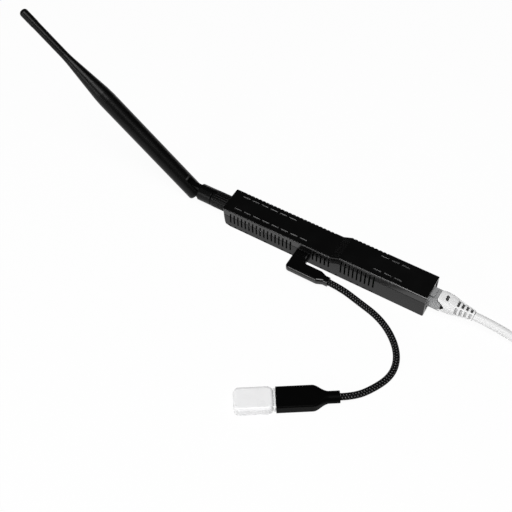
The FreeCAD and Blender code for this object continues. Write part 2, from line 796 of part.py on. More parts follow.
def poe_transformer():
    """The network supply's transformer: a bobbin between two core halves."""
    x = transformer_x
    bobbin = block("bobbin", (x - bobbin_half_length, -bobbin_half_width, board_top),
                   (x + bobbin_half_length, bobbin_half_width, board_top + bobbin_height))
    core_foot = board_top + core_lift
    core = block("core", (x - core_half_length, -core_half_width, core_foot),
                 (x + core_half_length, core_half_width, core_foot + core_height))
    return keep(join("transformer", bobbin, core), "poe_transformer")


def status_leds():
    """Three small indicator lights in a row."""
    lights = []
    for index in range(3):
        along = led_start + led_pitch * index
        lights.append(block(f"led_{index}", (along, led_width * -0.5, board_top),
                            (along + led_length, led_width * 0.5, board_top + led_height)))
    return keep(group("leds", lights), "status_leds")


def network_jack():
    """The network socket: a shielded block with a plug-shaped opening and a latch slot above it."""
    half = jack_half_width
    shell = block("jack_block", (jack_back, -half, jack_bottom), (jack_front, half, jack_top))
    side = plug_width * 0.5 + plug_gap
    depth = plug_tip_x - plug_gap * 2
    low = plug_z - plug_height * 0.5 - plug_gap
    high = plug_z + plug_height * 0.5 + plug_gap
    mouth = block("jack_mouth", (depth, -side, low), (jack_front + 1, side, high))
    latch = latch_width * 0.5 + plug_gap * 2
    slot = block("jack_latch_slot", (depth, -latch, high - 0.5), (jack_front + 1, latch, high + latch_slot_height))
    return keep(remove("jack", shell, mouth, slot), "network_jack")


def usb_c_receptacle():
    """The USB-C socket's folded shell, closed at its back by the tongue's block."""
    front = seat_gap * 4 - half_width
    body = new_body("receptacle_body")
    outline = rounded_rectangle(body, "shell_outline", "XZ_Plane", usb_c_width, usb_c_height,
                                usb_c_height * 0.42)
    shell = pad(body, "shell", outline, usb_c_depth)
    shell.Reversed = True
    hollow = rounded_rectangle(body, "hollow_outline", "XZ_Plane", usb_c_width - usb_c_sheet * 2,
                               usb_c_height - usb_c_sheet * 2, usb_c_height * 0.42 - usb_c_sheet)
    pocket(body, "hollow", hollow, usb_c_depth + 1, "One side", False)
    put(body, (port_x, front, usb_c_z))
    return keep(body, "usb_c_receptacle")


def usb_c_tongue():
    """The thin contact tongue in the USB-C socket, and the block that carries it."""
    front = seat_gap * 4 - half_width
    wide = usb_c_width * 0.5 - usb_c_sheet - usb_c_fit
    tall = usb_c_height * 0.5 - usb_c_sheet - usb_c_fit
    back_half = wide - tongue_back_inset
    back = block("tongue_back", (port_x - back_half, front + usb_c_depth - tongue_back_depth, usb_c_z - tall),
                 (port_x + back_half, front + usb_c_depth, usb_c_z + tall))
    thin = tongue_blade_thickness * 0.5
    blade = block("tongue_blade", (port_x - tongue_blade_half_width, front + tongue_blade_setback, usb_c_z - thin),
                  (port_x + tongue_blade_half_width, front + usb_c_depth - tongue_back_depth * 0.5, usb_c_z + thin))
    return keep(join("tongue", back, blade), "usb_c_tongue")


def antenna_jack():
    """The antenna socket: a square body on the board and a round threaded spout through the end wall."""
    inner = end_a + end_lean + wall + board_side_gap
    half = antenna_height - board_top
    square = block("jack_square", (inner, -half, board_top),
                   (inner + jack_square_length, half, antenna_height + half))
    spout = rod("jack_spout", (nut_face - jack_thread_length, 0, antenna_height), "X", jack_thread_radius,
                inner + 1 - nut_face + jack_thread_length)
    bore = rod("jack_bore", (nut_face - jack_thread_length - clear, 0, antenna_height), "X", contact_bore_radius,
               contact_bore_depth + clear)
    return keep(remove("antenna_socket", join("socket_body", square, spout), bore), "antenna_jack")


def antenna_nut():
    """The antenna's coupling nut, with fluted grip, a threaded bore and a lip that holds the swivel."""
    body = new_body("nut_body")
    round_bar = circle_sketch(body, "nut_outline", "YZ_Plane", nut_radius)
    bar = pad(body, "nut_bar", round_bar, nut_length, "One side", True)
    bevel(body, "nut_rims", bar, nut_flute_radius * 0.5)
    flute = circle_sketch(body, "flute_outline", "YZ_Plane", nut_flute_radius, 0,
                          (0, nut_radius + nut_flute_offset))
    cut = pocket(body, "flute", flute, nut_length - nut_plain_length, "One side", False)
    flutes = body.newObject("PartDesign::PolarPattern", "flutes")
    flutes.Originals = [cut]
    flutes.Axis = (plane_of(body, "X_Axis"), [""])
    flutes.Angle = 360
    flutes.Occurrences = 24
    body.Tip = flutes
    bore = circle_sketch(body, "nut_bore_outline", "YZ_Plane", nut_bore_radius)
    pocket(body, "nut_bore", bore, nut_bore_depth, "One side", False)
    lip = circle_sketch(body, "nut_lip_outline", "YZ_Plane", stem_radius + stem_clearance)
    pocket(body, "nut_lip", lip, nut_length + 1, "One side", False)
    put(body, (nut_face, 0, antenna_height))
    return keep(body, "antenna_nut")


def antenna_knuckle():
    """The swivelling barrel: a stem in the nut, a round body and a tongue for the hinge."""
    body = new_body("knuckle_body")
    round_bar = circle_sketch(body, "barrel_outline", "YZ_Plane", barrel_radius)
    bar = pad(body, "barrel", round_bar, barrel_length, "One side", True)
    bevel(body, "barrel_rims", bar, barrel_bevel)
    stem = circle_sketch(body, "stem_outline", "YZ_Plane", stem_radius)
    pad(body, "stem", stem, stem_length)
    centre = -(barrel_length + pivot_from_barrel)
    arm = rectangle(body, "tongue_outline", "XZ_Plane", (centre, -tongue_radius), (1 - barrel_length, tongue_radius))
    pad(body, "tongue", arm, tongue_width, "Symmetric")
    nose = circle_sketch(body, "nose_outline", "XZ_Plane", tongue_radius, 0, (centre, 0))
    pad(body, "nose", nose, tongue_width, "Symmetric")
    hole = circle_sketch(body, "tongue_hole_outline", "XZ_Plane", pin_radius + pin_clearance, 0, (centre, 0))
    pocket(body, "tongue_hole", hole, tongue_width * 2, "Symmetric")
    put(body, (barrel_face, 0, antenna_height))
    return keep(body, "antenna_knuckle")


def hinge_pin():
    """The pin of the tilt hinge."""
    half = whip_radius - pin_cover - seat_gap * 0.5
    return keep(rod("pin", (pivot_x, -half, antenna_height), "Y", pin_radius, half * 2), "hinge_pin")


def antenna_whip():
    """The antenna's long tapering body, with a fork at its foot that takes the knuckle's tongue."""
    body = new_body("whip_body")
    foot = -fork_reach
    taper = whip_thick_length + whip_taper_length
    blend = whip_shoulder_blend
    profile = [
        (foot, 0),
        (foot, whip_radius - whip_foot_bevel),
        (foot + whip_foot_bevel * 0.3, whip_radius - whip_foot_bevel * 0.37),
        (foot + whip_foot_bevel, whip_radius),
        (whip_thick_length - blend, whip_radius),
        (whip_thick_length + blend, whip_radius - whip_shoulder_drop),
        (taper - blend, whip_thin_radius + whip_shoulder_drop),
        (taper + blend, whip_thin_radius),
        (whip_length, whip_thin_radius),
        (whip_length, 0),
    ]
    turned = body.newObject("PartDesign::Revolution", "turned_body")
    turned.Profile = polygon(body, "whip_profile", "XZ_Plane", profile)
    turned.ReferenceAxis = (plane_of(body, "X_Axis"), [""])
    turned.Angle = 360
    body.Tip = turned
    half_slot = tongue_width * 0.5 + fork_side_gap
    slot = rectangle(body, "fork_slot_outline", "XY_Plane", (foot - 1, -half_slot), (fork_slot_depth, half_slot))
    pocket(body, "fork_slot", slot, whip_radius * 4, "Symmetric")
    hole = circle_sketch(body, "fork_hole_outline", "XZ_Plane", pin_radius + pin_clearance)
    pocket(body, "fork_hole", hole, (whip_radius - pin_cover) * 2, "Symmetric")
    put(body, (pivot_x, 0, antenna_height), 180 + whip_angle.value, (0, 1, 0))
    return keep(body, "antenna_whip")


def antenna_tip():
    """The rounded cap on the antenna's thin end."""
    body = new_body("tip_body")
    outline = circle_sketch(body, "tip_outline", "YZ_Plane", tip_radius)
    bar = pad(body, "tip_bar", outline, tip_length)
    soften(body, "tip_round", bar, tip_round, lambda edge, middle: near(middle.x, tip_length))
    rise = math.radians(whip_angle.value)
    reach = whip_length + seat_gap * 0.2
    put(body, (pivot_x - reach * math.cos(rise), 0, antenna_height + reach * math.sin(rise)),
        180 + whip_angle.value, (0, 1, 0))
    return keep(body, "antenna_tip")


def usb_c_plug():
    """The right-angle moulding of the USB-C plug, which turns along the stick and necks down to its cord."""
    body = new_body("elbow_body")
    half = elbow_width * 0.5
    outer = -elbow_reach
    inner = outer + elbow_body_width
    middle = (outer + inner) * 0.5
    straight = elbow_body_length - half
    neck = straight + elbow_taper_length
    end = neck + elbow_neck_length
    side = elbow_neck_width * 0.5
    corners = [
        (-half, 0),
        (-half, outer),
        (straight, outer),
        (neck, middle - side),
        (end, middle - side),
        (end, middle + side),
        (neck, middle + side),
        (straight, inner),
        (half, inner),
        (half, 0),
    ]
    moulding = pad(body, "moulding", polygon(body, "elbow_outline", "XY_Plane", corners), elbow_height, "Symmetric")
    upright = lambda edge, point: near(point.z, 0) and abs(edge.Length - elbow_height.value) < 0.01
    corner = soften(body, "outer_corner", moulding, elbow_corner_round,
                    lambda edge, point: upright(edge, point) and near(point.x, -half) and near(point.y, outer))
    bend = soften(body, "bends", corner, elbow_bend_round,
                  lambda edge, point: upright(edge, point) and (near(point.x, half) and near(point.y, inner)))
    neck_bends = soften(body, "neck_bends", bend, elbow_neck_round,
                        lambda edge, point: upright(edge, point) and (near(point.x, neck) or near(point.x, straight)))
    soften(body, "long_edges", neck_bends, elbow_edge_round,
           lambda edge, point: near(abs(point.z), elbow_height * 0.5) and point.y < -0.1
           and point.x < end.value - 0.05)
    put(body, (port_x, -(half_width + seat_gap), usb_c_z))
    return keep(body, "usb_c_plug")


def usb_c_plug_shell():
    """The metal tongue shell of the USB-C plug, open at its tip."""
    body = new_body("plug_shell_body")
    wide = usb_c_width - usb_c_sheet * 2 - usb_c_fit * 2
    tall = usb_c_height - usb_c_sheet * 2 - usb_c_fit * 2
    long = usb_c_depth - tongue_back_depth + seat_gap * 4
    outline = rounded_rectangle(body, "outline", "XZ_Plane", wide, tall, tall * 0.42)
    shell = pad(body, "shell", outline, long)
    shell.Reversed = True
    hollow = rounded_rectangle(body, "hollow_outline", "XZ_Plane", wide - usb_c_sheet * 2, tall - usb_c_sheet * 2,
                               (tall - usb_c_sheet * 2) * 0.42, -seat_gap * 5)
    pocket(body, "hollow", hollow, long + 1, "One side", False)
    put(body, (port_x, -(half_width + seat_gap), usb_c_z))
    return keep(body, "usb_c_plug_shell")


# The USB-A plug lies on the table: the middle of its front face, its height and its direction
usb_a_x = size("usb_a_x", 26.0)
usb_a_y = size("usb_a_y", -110.6)
usb_a_turn = size("usb_a_turn", 33.5)
usb_a_z = cap_height * 0.5


def usb_a_overmould():
    """The USB-A plug's grip: a flat block with an S-shaped shoulder down to a neck."""
    body = new_body("grip_body")
    start = grip_length - grip_flat_end
    first = rounded_rectangle(body, "grip_outline", "YZ_Plane", grip_width, grip_height, grip_corner_round)
    pad(body, "grip", first, start)
    shoulder = [
        (start, grip_width, grip_height, grip_corner_round),
        (start + grip_shoulder * 0.22, grip_width - 0.6, grip_height, 1.2),
        (start + grip_shoulder * 0.62, (grip_width + grip_neck_width) * 0.5 - 0.3, grip_height - 0.2, 2.4),
        (start + grip_shoulder, grip_neck_width + 0.5, grip_neck_width + 0.2, 3.3),
        (start + grip_shoulder + grip_flat_end, grip_neck_width, grip_neck_width, grip_neck_round),
    ]
    sections = [rounded_rectangle(body, f"shoulder_{index}", "YZ_Plane", wide, tall, corner, along)
                for index, (along, wide, tall, corner) in enumerate(shoulder)]
    loft = body.newObject("PartDesign::AdditiveLoft", "shoulder")
    loft.Profile = sections[0]
    loft.Sections = sections[1:]
    body.Tip = loft
    neck = rounded_rectangle(body, "neck_outline", "YZ_Plane", grip_neck_width, grip_neck_width, grip_neck_round,
                             shoulder[-1][0])
    pad(body, "neck", neck, grip_neck_length)
    put(body, (usb_a_x, usb_a_y, usb_a_z), usb_a_turn)
    return keep(body, "usb_a_overmould")


def usb_a_shell():
    """The USB-A plug's folded metal shell."""
    body = new_body("shell_body")
    outline = rounded_rectangle(body, "outline", "YZ_Plane", usb_a_width, usb_a_height, usb_a_corner_round)
    pad(body, "shell", outline, usb_a_reach, "One side", True)
    hollow = rounded_rectangle(body, "hollow_outline", "YZ_Plane", usb_a_width - usb_a_sheet * 2,
                               usb_a_height - usb_a_sheet * 2, usb_a_corner_round - usb_a_sheet)
    pocket(body, "hollow", hollow, usb_a_reach + 1, "One side", False)
    put(body, (usb_a_x, usb_a_y, usb_a_z), usb_a_turn)
    return keep(body, "usb_a_shell")


def usb_a_tongue():
    """The plastic contact carrier along one side of the USB-A shell."""
    body = new_body("carrier_body")
    half = usb_a_width * 0.5 - usb_a_sheet - usb_c_fit
    floor = -(usb_a_height * 0.5 - usb_a_sheet - usb_c_fit)
    outline = rectangle(body, "outline", "YZ_Plane", (-half, floor), (half, floor + usb_a_tongue_height))
    pad(body, "carrier", outline, usb_a_reach - usb_a_tongue_setback, "One side", True)
    put(body, (usb_a_x, usb_a_y, usb_a_z), usb_a_turn)
    return keep(body, "usb_a_tongue")


def usb_a_cap():
    """The clear cap on the USB-A plug: a rounded box with a hollow for the metal shell."""
    body = new_body("cap_body")
    mouth = -cap_stand_off
    middle = mouth - cap_length * 0.5
    outline = rounded_rectangle(body, "cap_outline", "XY_Plane", cap_length, cap_width, cap_corner_round, 0,
                                (middle, 0))
    lump = pad(body, "lump", outline, cap_height, "Symmetric")
    soften(body, "cap_edges", lump, cap_edge_round,
           lambda edge, point: near(abs(point.z), cap_height * 0.5))
    hollow = rectangle(body, "cap_hollow_outline", "YZ_Plane",
                       (usb_a_width * -0.5 - cap_fit, usb_a_height * -0.5 - cap_fit),
                       (usb_a_width * 0.5 + cap_fit, usb_a_height * 0.5 + cap_fit))
    pocket(body, "cap_hollow", hollow, usb_a_reach + cap_fit * 2, "One side", False)
    put(body, (usb_a_x, usb_a_y, usb_a_z), usb_a_turn)
    return keep(body, "usb_a_cap")


def network_plug(prefix, place, turn):
    """A clear network plug: a block with a cable pocket behind, contact slots in front and a latch on top."""
    half = plug_width * 0.5
    tall = plug_height * 0.5
    core = block(prefix + "_core", (0, -half, -tall), (plug_length, half, tall))
    pocket_box = block(prefix + "_pocket", (plug_pocket_from, plug_skin - half, plug_skin - tall),
                       (plug_length + clear, half - plug_skin, tall - plug_skin))
    slots = [pocket_box]
    for index in range(8):
        across = (index - 3.5) * contact_pitch
        slots.append(block(f"{prefix}_slot_{index}", (-1, across - contact_width * 0.5 - contact_fit, -tall - clear),
                           (contact_slot_length, across + contact_width * 0.5 + contact_fit, contact_height - tall)))
    lever = new_body(prefix + "_latch_body")
    latch_end = plug_length - latch_end_inset
    profile = [
        (latch_root, tall - latch_root),
        (latch_root, tall + latch_thickness * 0.5),
        (latch_bend, tall + latch_rise - latch_thickness),
        (latch_end, tall + latch_rise),
        (latch_end, tall + latch_rise - latch_thickness),
        (latch_bend, tall + latch_rise - latch_thickness * 2),
        (2.2, tall - latch_root),
    ]
    pad(lever, "latch", polygon(lever, "latch_profile", "XZ_Plane", profile), latch_width, "Symmetric")
    whole = join(prefix + "_whole", remove(prefix + "_hollowed", core, *slots), lever)
    put(whole, place, turn)
    return keep(whole, prefix)


def network_plug_contacts(prefix, place, turn):
    """Eight gold blades in the front of a network plug."""
    tall = plug_height * 0.5
    blades = []
    for index in range(8):
        across = (index - 3.5) * contact_pitch
        low = (contact_inset * 2, across - contact_width * 0.5, contact_inset - tall)
        high = (contact_slot_length - contact_inset, across + contact_width * 0.5, contact_height - tall)
        blades.append(block(f"{prefix}_blade_{index}", low, high))
    contacts = group(prefix + "_blades", blades)
    put(contacts, place, turn)
    return keep(contacts, prefix)


def network_plug_boot(prefix, place, turn):
    """The soft sleeve behind a network plug: a hood over the latch, ribs and a tapering tail."""
    body = new_body(prefix + "_body")
    start = boot_start
    hood = plug_height + boot_hood_rise
    tail = cable_radius * 2 + 1.4
    # Along, width, height, corner radius, and how far the middle is above the plug's
    stations = [
        (start, plug_width + 1.4, hood, 2.4, boot_hood_rise * 0.38),
        (start + 6.5, plug_width + 1.6, hood, 2.4, boot_hood_rise * 0.38),
        (start + 12.5, plug_width - 0.4, hood - 1.2, 2.6, boot_hood_rise * 0.26),
        (start + 18.0, plug_width - 2.2, hood - 2.4, 2.9, boot_hood_rise * 0.1),
        (start + 22.8, tail, tail, 3.2, 0),
        (start + boot_sleeve_length, tail - 0.4, tail - 0.4, 3.1, 0),
    ]
    sections = [rounded_rectangle(body, f"{prefix}_station_{index}", "YZ_Plane", wide, high, corner, along, (0, up))
                for index, (along, wide, high, corner, up) in enumerate(stations)]
    loft = body.newObject("PartDesign::AdditiveLoft", prefix + "_sleeve")
    loft.Profile = sections[0]
    loft.Sections = sections[1:]
    loft.Ruled = True
    body.Tip = loft
    seat = rectangle(body, prefix + "_seat_outline", "YZ_Plane",
                     (plug_width * -0.5 - seat_gap, plug_height * -0.5 - seat_gap),
                     (plug_width * 0.5 + seat_gap, plug_height * 0.5 + seat_gap))
    pocket(body, prefix + "_seat", seat, plug_length + seat_gap, "One side", True)
    bore = circle_sketch(body, prefix + "_bore_outline", "YZ_Plane", cable_radius + seat_gap)
    pocket(body, prefix + "_bore", bore, None, "One side", True)
    notch = rectangle(body, prefix + "_fork_outline", "XY_Plane", (start - 1, latch_width * -0.5 - 0.4),
                      (start + 4.6, latch_width * 0.5 + 0.4), plug_height * 0.5 - 0.2)
    pocket(body, prefix + "_fork", notch, None, "One side", True)
    gaps = []
    for side in (-1, 1):
        low, high = side_span(side, 1.2, plug_width)
        for index in range(4):
            along = start + 12.8 + boot_rib_pitch * index
            gaps.append(block(f"{prefix}_gap", (along, low, cable_radius + 0.4),
                              (along + boot_rib_gap, high, plug_width)))
    ribbed = remove(prefix + "_ribbed", body, *gaps)
    put(ribbed, place, turn)
    return keep(ribbed, prefix)


def tube(label, points, radius):
    """A cord's plain tube along straight runs joined by arcs, each as large as its two runs allow."""
    share = 0.45
    path = [Vector(*point) for point in points]
    edges = []
    start = path[0]
    for index in range(1, len(path) - 1):
        before = path[index - 1] - path[index]
        after = path[index + 1] - path[index]
        shorter = min(before.Length, after.Length)
        trim = share * shorter
        before.normalize()
        after.normalize()
        half_turn = (math.pi - before.getAngle(after)) / 2
        arc_radius = trim / math.tan(half_turn)
        enter = path[index] + before * trim
        leave = path[index] + after * trim
        inward = (before + after).normalize()
        centre = path[index] + inward * (arc_radius / math.cos(half_turn))
        crown = centre - inward * arc_radius
        edges.append(Part.LineSegment(start, enter).toShape())
        edges.append(Part.Arc(enter, crown, leave).toShape())
        start = leave
        print(f"{label} point {index}: radius {arc_radius:.1f} mm, turn {math.degrees(half_turn * 2):.1f}")
    edges.append(Part.LineSegment(start, path[-1]).toShape())
    spine = Part.Wire(edges)
    section = Part.Wire([Part.Circle(path[0], path[1] - path[0], radius).toShape()])
    solid = spine.makePipeShell([section], True, False)
    expected = math.pi * radius ** 2 * spine.Length
    print(f"{label}: length {spine.Length:.1f} mm, volume ratio {solid.Volume / expected:.4f}")
    feature = doc.addObject("Part::Feature", label + "_tube")
    feature.Shape = solid
    return keep(feature, label)


def network_coil(x, y):
    """The network lead's spare length: a flat-bottomed coil, six turns laid three, two and one high."""
    body = new_body("coil_body")
    foot = seat_gap * 0.5
    profile = [
        (coil_inner_radius, foot),
        (coil_outer_radius, foot),
        (coil_outer_radius, coil_side_height),
        (coil_top_outer_radius, coil_height),
        (coil_top_inner_radius, coil_height),
        (coil_inner_radius, coil_side_height),
    ]
    turned = body.newObject("PartDesign::Revolution", "coil_ring")
    turned.Profile = polygon(body, "coil_section", "XZ_Plane", profile)
    turned.ReferenceAxis = (plane_of(body, "Z_Axis"), [""])
    turned.Angle = 360
    body.Tip = turned
    put(body, (x, y, 0))
    return keep(body, "network_cable_coil")


vents = wall_vents()
bottom_shell(vents)
top_cover(vents)
main_board()
board_screws()
network_jack()
usb_c_receptacle()
usb_c_tongue()
antenna_jack()
shielded_module("mesh_module", "mesh_radio_module", (mesh_x, 0), (mesh_length, mesh_width))
shielded_module("wireless_module", "wireless_module", (wireless_x, wireless_y),
                (wireless_length, wireless_width))
chip("bridge_chip", "usb_bridge_chip", (bridge_x, bridge_y), (bridge_side, bridge_side), bridge_height)
chip("network_chip", "network_chip", (network_chip_x, 0), (network_chip_side, network_chip_side),
     network_chip_height)
poe_transformer()
poe_capacitor()
status_leds()
antenna_nut()
antenna_knuckle()
hinge_pin()
antenna_whip()
antenna_tip()
usb_c_plug()
usb_c_plug_shell()
usb_a_overmould()
usb_a_shell()
usb_a_tongue()
usb_a_cap()
plug_place = (plug_tip_x, 0, plug_z)
network_plug("network_plug", plug_place, 0)
network_plug_contacts("network_plug_contacts", plug_place, 0)
network_plug_boot("network_plug_boot", plug_place, 0)

# The USB lead runs from the elbow's neck to the USB-A plug's neck, all of it on show
neck_x = port_x + elbow_body_length - elbow_width * 0.5 + elbow_taper_length + elbow_neck_length
neck_y = -(half_width + seat_gap) - elbow_reach + elbow_body_width * 0.5
turn = math.radians(usb_a_turn.value)
grip_total = grip_length + grip_shoulder + grip_neck_length
usb_cord_end = (usb_a_x.value + grip_total.value * math.cos(turn),
                usb_a_y.value + grip_total.value * math.sin(turn), usb_a_z.value)
usb_cord_route = [
    (neck_x.value, neck_y.value, usb_c_z.value),
    (23.0, -21.3, 5.4),
    (37.0, -23.1, 2.4),
    (50.8, -26.3, 2.3),
    (62.0, -32.2, 2.3),
    (71.6, -41.0, 2.3),
    (77.0, -51.0, 2.3),
    (77.5, -62.0, 2.3),
    (72.4, -73.4, 2.3),
    (65.6, -84.2, 3.8),
    usb_cord_end,
]
tube("usb_cord", usb_cord_route, usb_cord_radius.value)

# The network lead leaves its boot, comes down to the table and runs into a coil of its spare length
boot_end = plug_tip_x + boot_start + boot_sleeve_length
coil_x, coil_y = 168.0, 32.0
coil_reach = 15.0
lead_y = coil_y - (coil_outer_radius.value - cable_radius.value)
network_cable_route = [
    (boot_end.value + 0.05, 0, plug_z.value),
    (116.5, 0.2, 8.4),
    (129.5, 0.1, 6.0),
    (142.5, -0.2, 3.5),
    (coil_x - coil_reach, lead_y, 2.86),
]
tube("network_cable", network_cable_route, cable_radius.value)
network_coil(coil_x, coil_y)

# Beyond the coil a short tail ends in a second plug
tail_x = coil_x + 26.8
far_plug_z = plug_height.value * 0.5 + 1.1
far_plug_tip_y = 124.0
far_boot_end = far_plug_tip_y - (boot_start + boot_sleeve_length).value
network_tail_route = [
    (tail_x, coil_y + coil_reach, 9.0),
    (tail_x + 1.2, coil_y + 33.0, 3.9),
    (tail_x + 0.6, far_boot_end - 0.05, far_plug_z),
]
tube("network_cable_tail", network_tail_route, cable_radius.value)
far_place = (tail_x + 0.6, far_plug_tip_y, far_plug_z)
network_plug("far_network_plug", far_place, -90)
network_plug_contacts("far_plug_contacts", far_place, -90)
network_plug_boot("far_plug_boot", far_place, -90)

doc.recompute()
for thing in doc.Objects:
    assert "Invalid" not in thing.State and "Error" not in thing.State, f"{thing.Name} failed: {thing.State}"
os.makedirs("parts", exist_ok=True)
for node in nodes:
    assert not node.Shape.isNull() and node.Shape.isValid(), f"{node.Label} has no valid shape"
    node.Shape.exportStep(f"parts/{node.Label}.step")
    print(f"{node.Label}: {len(node.Shape.Solids)} solid, {node.Shape.Volume:.1f} mm3")
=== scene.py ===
import math

import bmesh
import bpy
import numpy as np
from mathutils import Matrix, Vector


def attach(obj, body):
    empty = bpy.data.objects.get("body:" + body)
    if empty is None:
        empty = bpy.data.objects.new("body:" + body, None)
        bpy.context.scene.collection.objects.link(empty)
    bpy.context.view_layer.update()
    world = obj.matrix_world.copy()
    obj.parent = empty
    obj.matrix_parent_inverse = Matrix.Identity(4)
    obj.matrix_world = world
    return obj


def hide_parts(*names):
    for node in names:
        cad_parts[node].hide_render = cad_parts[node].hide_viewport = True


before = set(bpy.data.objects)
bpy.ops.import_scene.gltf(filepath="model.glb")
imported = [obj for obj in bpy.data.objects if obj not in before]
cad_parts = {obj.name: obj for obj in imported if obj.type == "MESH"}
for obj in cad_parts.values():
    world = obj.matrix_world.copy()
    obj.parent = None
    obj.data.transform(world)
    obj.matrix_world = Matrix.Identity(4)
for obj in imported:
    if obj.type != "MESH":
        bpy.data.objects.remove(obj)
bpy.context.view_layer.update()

# The camera looks down on the near long side from 54 degrees up, well back, as the photograph does.
# Its right and forward directions are stated, and a 59 mm lens gives the photograph's framing.
mm = 0.001
camera_place = Vector((144.09, -300.88, 461.33)) * mm
camera_right = Vector((0.85369, 0.51991, -0.03002))
camera_forward = Vector((-0.32528, 0.48732, -0.81038))
camera_data = bpy.data.cameras.new("photo_camera")
camera_data.sensor_width = 36
camera_data.lens = 59.05
camera_data.clip_start = 0.01
camera_data.clip_end = 20
camera = bpy.data.objects.new("photo_camera", camera_data)
axes = Matrix((camera_right, camera_right.cross(camera_forward), -camera_forward)).transposed()
camera.matrix_world = Matrix.Translation(camera_place) @ axes.to_4x4()
bpy.context.scene.collection.objects.link(camera)
bpy.context.scene.camera = camera


# The USB lead is a woven black sleeve over a round cable, moulded into a plug at each end.
# It leaves the right-angle plug's neck, lies in one wide bend on the table and ends in the larger plug.
def nurbs_line(name, route):
    """A smooth spline of the second degree with the route's points as its control points."""
    data = bpy.data.curves.new(name, "CURVE")
    data.dimensions = "3D"
    spline = data.splines.new("NURBS")
    spline.points.add(len(route) - 1)
    for point, place in zip(spline.points, route):
        point.co = (place[0] * mm, place[1] * mm, place[2] * mm, 1)
    spline.order_u = 3
    spline.use_endpoint_u = True
    spline.resolution_u = 12
    line = bpy.data.objects.new(name, data)
    bpy.context.scene.collection.objects.link(line)
    return line


def line_points(line, step):
    """Points read from the spline itself, spaced evenly along its length."""
    mesh = bpy.data.meshes.new_from_object(line.evaluated_get(bpy.context.evaluated_depsgraph_get()))
    points = np.array([vertex.co for vertex in mesh.vertices], float)
    bpy.data.meshes.remove(mesh)
    lengths = np.concatenate(([0], np.cumsum(np.linalg.norm(np.diff(points, axis=0), axis=1))))
    stations = np.linspace(0, lengths[-1], max(2, int(lengths[-1] / step)))
    return np.stack([np.interp(stations, lengths, points[:, axis]) for axis in range(3)], axis=1)


def outward_piece(name, mesh):
    """Turn a closed mesh's faces outwards and put it in the scene as a piece."""
    faces = bmesh.new()
    faces.from_mesh(mesh)
    bmesh.ops.recalc_face_normals(faces, faces=faces.faces)
    faces.to_mesh(mesh)
    faces.free()
    piece = bpy.data.objects.new(name, mesh)
    bpy.context.scene.collection.objects.link(piece)
    return piece


def grid_mesh(name, points, close_along=False, uv=None):
    """A closed skin over a grid of points (rows along, columns round). Its last row meets its first again,
    or else a flat face closes each end."""
    rows, columns = points.shape[:2]
    corner = np.arange(rows * columns).reshape(rows, columns)
    here = corner if close_along else corner[:-1]
    below = np.roll(corner, -1, axis=0) if close_along else corner[1:]
    quads = np.stack([here, np.roll(here, -1, axis=1), np.roll(below, -1, axis=1), below], axis=-1).reshape(-1, 4)
    faces = quads.tolist()
    if not close_along:
        faces += [corner[0][::-1].tolist(), corner[-1].tolist()]
    mesh = bpy.data.meshes.new(name)
    mesh.from_pydata(points.reshape(-1, 3).tolist(), [], faces)
    if uv is not None:
        layer = mesh.uv_layers.new(name="round_and_along")
        u = np.broadcast_to(np.linspace(0, uv[0], columns + 1)[None, :], (rows, columns + 1))
        v = np.broadcast_to(np.linspace(0, uv[1], rows)[:, None], (rows, columns + 1))
        flat = np.stack([np.stack([part[:-1, :-1], part[:-1, 1:], part[1:, 1:], part[1:, :-1]], -1)
                         for part in (u, v)], -1).reshape(-1, 2)
        pad = np.zeros((len(mesh.loops) - len(flat), 2))
        layer.data.foreach_set("uv", np.concatenate([flat, pad]).ravel().astype(np.float32))
    mesh.polygons.foreach_set("use_smooth", [len(face) == 4 for face in faces])
    return outward_piece(name, mesh)


def carried_frames(line):
    """At each point of a line, two directions square to it, turned along it without twisting."""
    tangents = np.gradient(line, axis=0)
    tangents /= np.linalg.norm(tangents, axis=1, keepdims=True)
    side = np.cross(tangents[0], (0, 0, 1.0))
    side /= np.linalg.norm(side)
    sides = np.empty_like(line)
    for index, tangent in enumerate(tangents):
        side = side - tangent * (side @ tangent)
        side /= np.linalg.norm(side)
        sides[index] = side
    return sides, np.cross(sides, tangents)


usb_cord_route = [
    (13.2, -21.25, 5.8),
    (23.0, -21.3, 5.4),
    (37.0, -23.1, 2.4),
    (50.8, -26.3, 2.3),
    (62.0, -32.2, 2.3),
    (71.6, -41.0, 2.3),
    (77.0, -51.0, 2.3),
    (77.5, -62.0, 2.3),
    (72.4, -73.4, 2.3),
    (65.6, -84.2, 3.8),
    (57.94, -89.46, 4.3),
]
usb_cord_diameter = 4.4 * mm
braid_strands = 8
braid_pitch = 7.5 * mm
braid_relief = 0.13 * mm

usb_line = nurbs_line("usb_cord_line", usb_cord_route)
usb_path = line_points(usb_line, 0.25 * mm)
bpy.data.objects.remove(usb_line)
usb_length = float(np.linalg.norm(np.diff(usb_path, axis=0), axis=1).sum())


def braided_sleeve(name, path, diameter):
    """Radius at angle a and distance d = the cable's own, plus the higher of two sets of round strands:
    one set follows a + d, the other a - d, and they change places over and under by turns."""
    around = 60
    angle = np.linspace(0, 2 * math.pi, around, endpoint=False)[None, :]
    along = np.linspace(0, usb_length, len(path))[:, None] * 2 * math.pi / braid_pitch
    right = braid_strands * (angle + along) / 2
    left = braid_strands * (angle - along) / 2
    over = np.sign(np.cos(right) * np.cos(left)) * np.minimum(np.abs(np.cos(right)), np.abs(np.cos(left)))
    strand = np.abs(np.cos(right)) * (0.6 + 0.4 * over)
    crossing = np.abs(np.cos(left)) * (0.6 - 0.4 * over)
    radius = diameter / 2 - braid_relief * 0.8 + braid_relief * np.maximum(strand, crossing)
    sides, ups = carried_frames(path)
    ring = np.cos(angle)[..., None] * sides[:, None] + np.sin(angle)[..., None] * ups[:, None]
    return grid_mesh(name, path[:, None] + ring * radius[..., None], uv=(1, usb_length / braid_pitch))


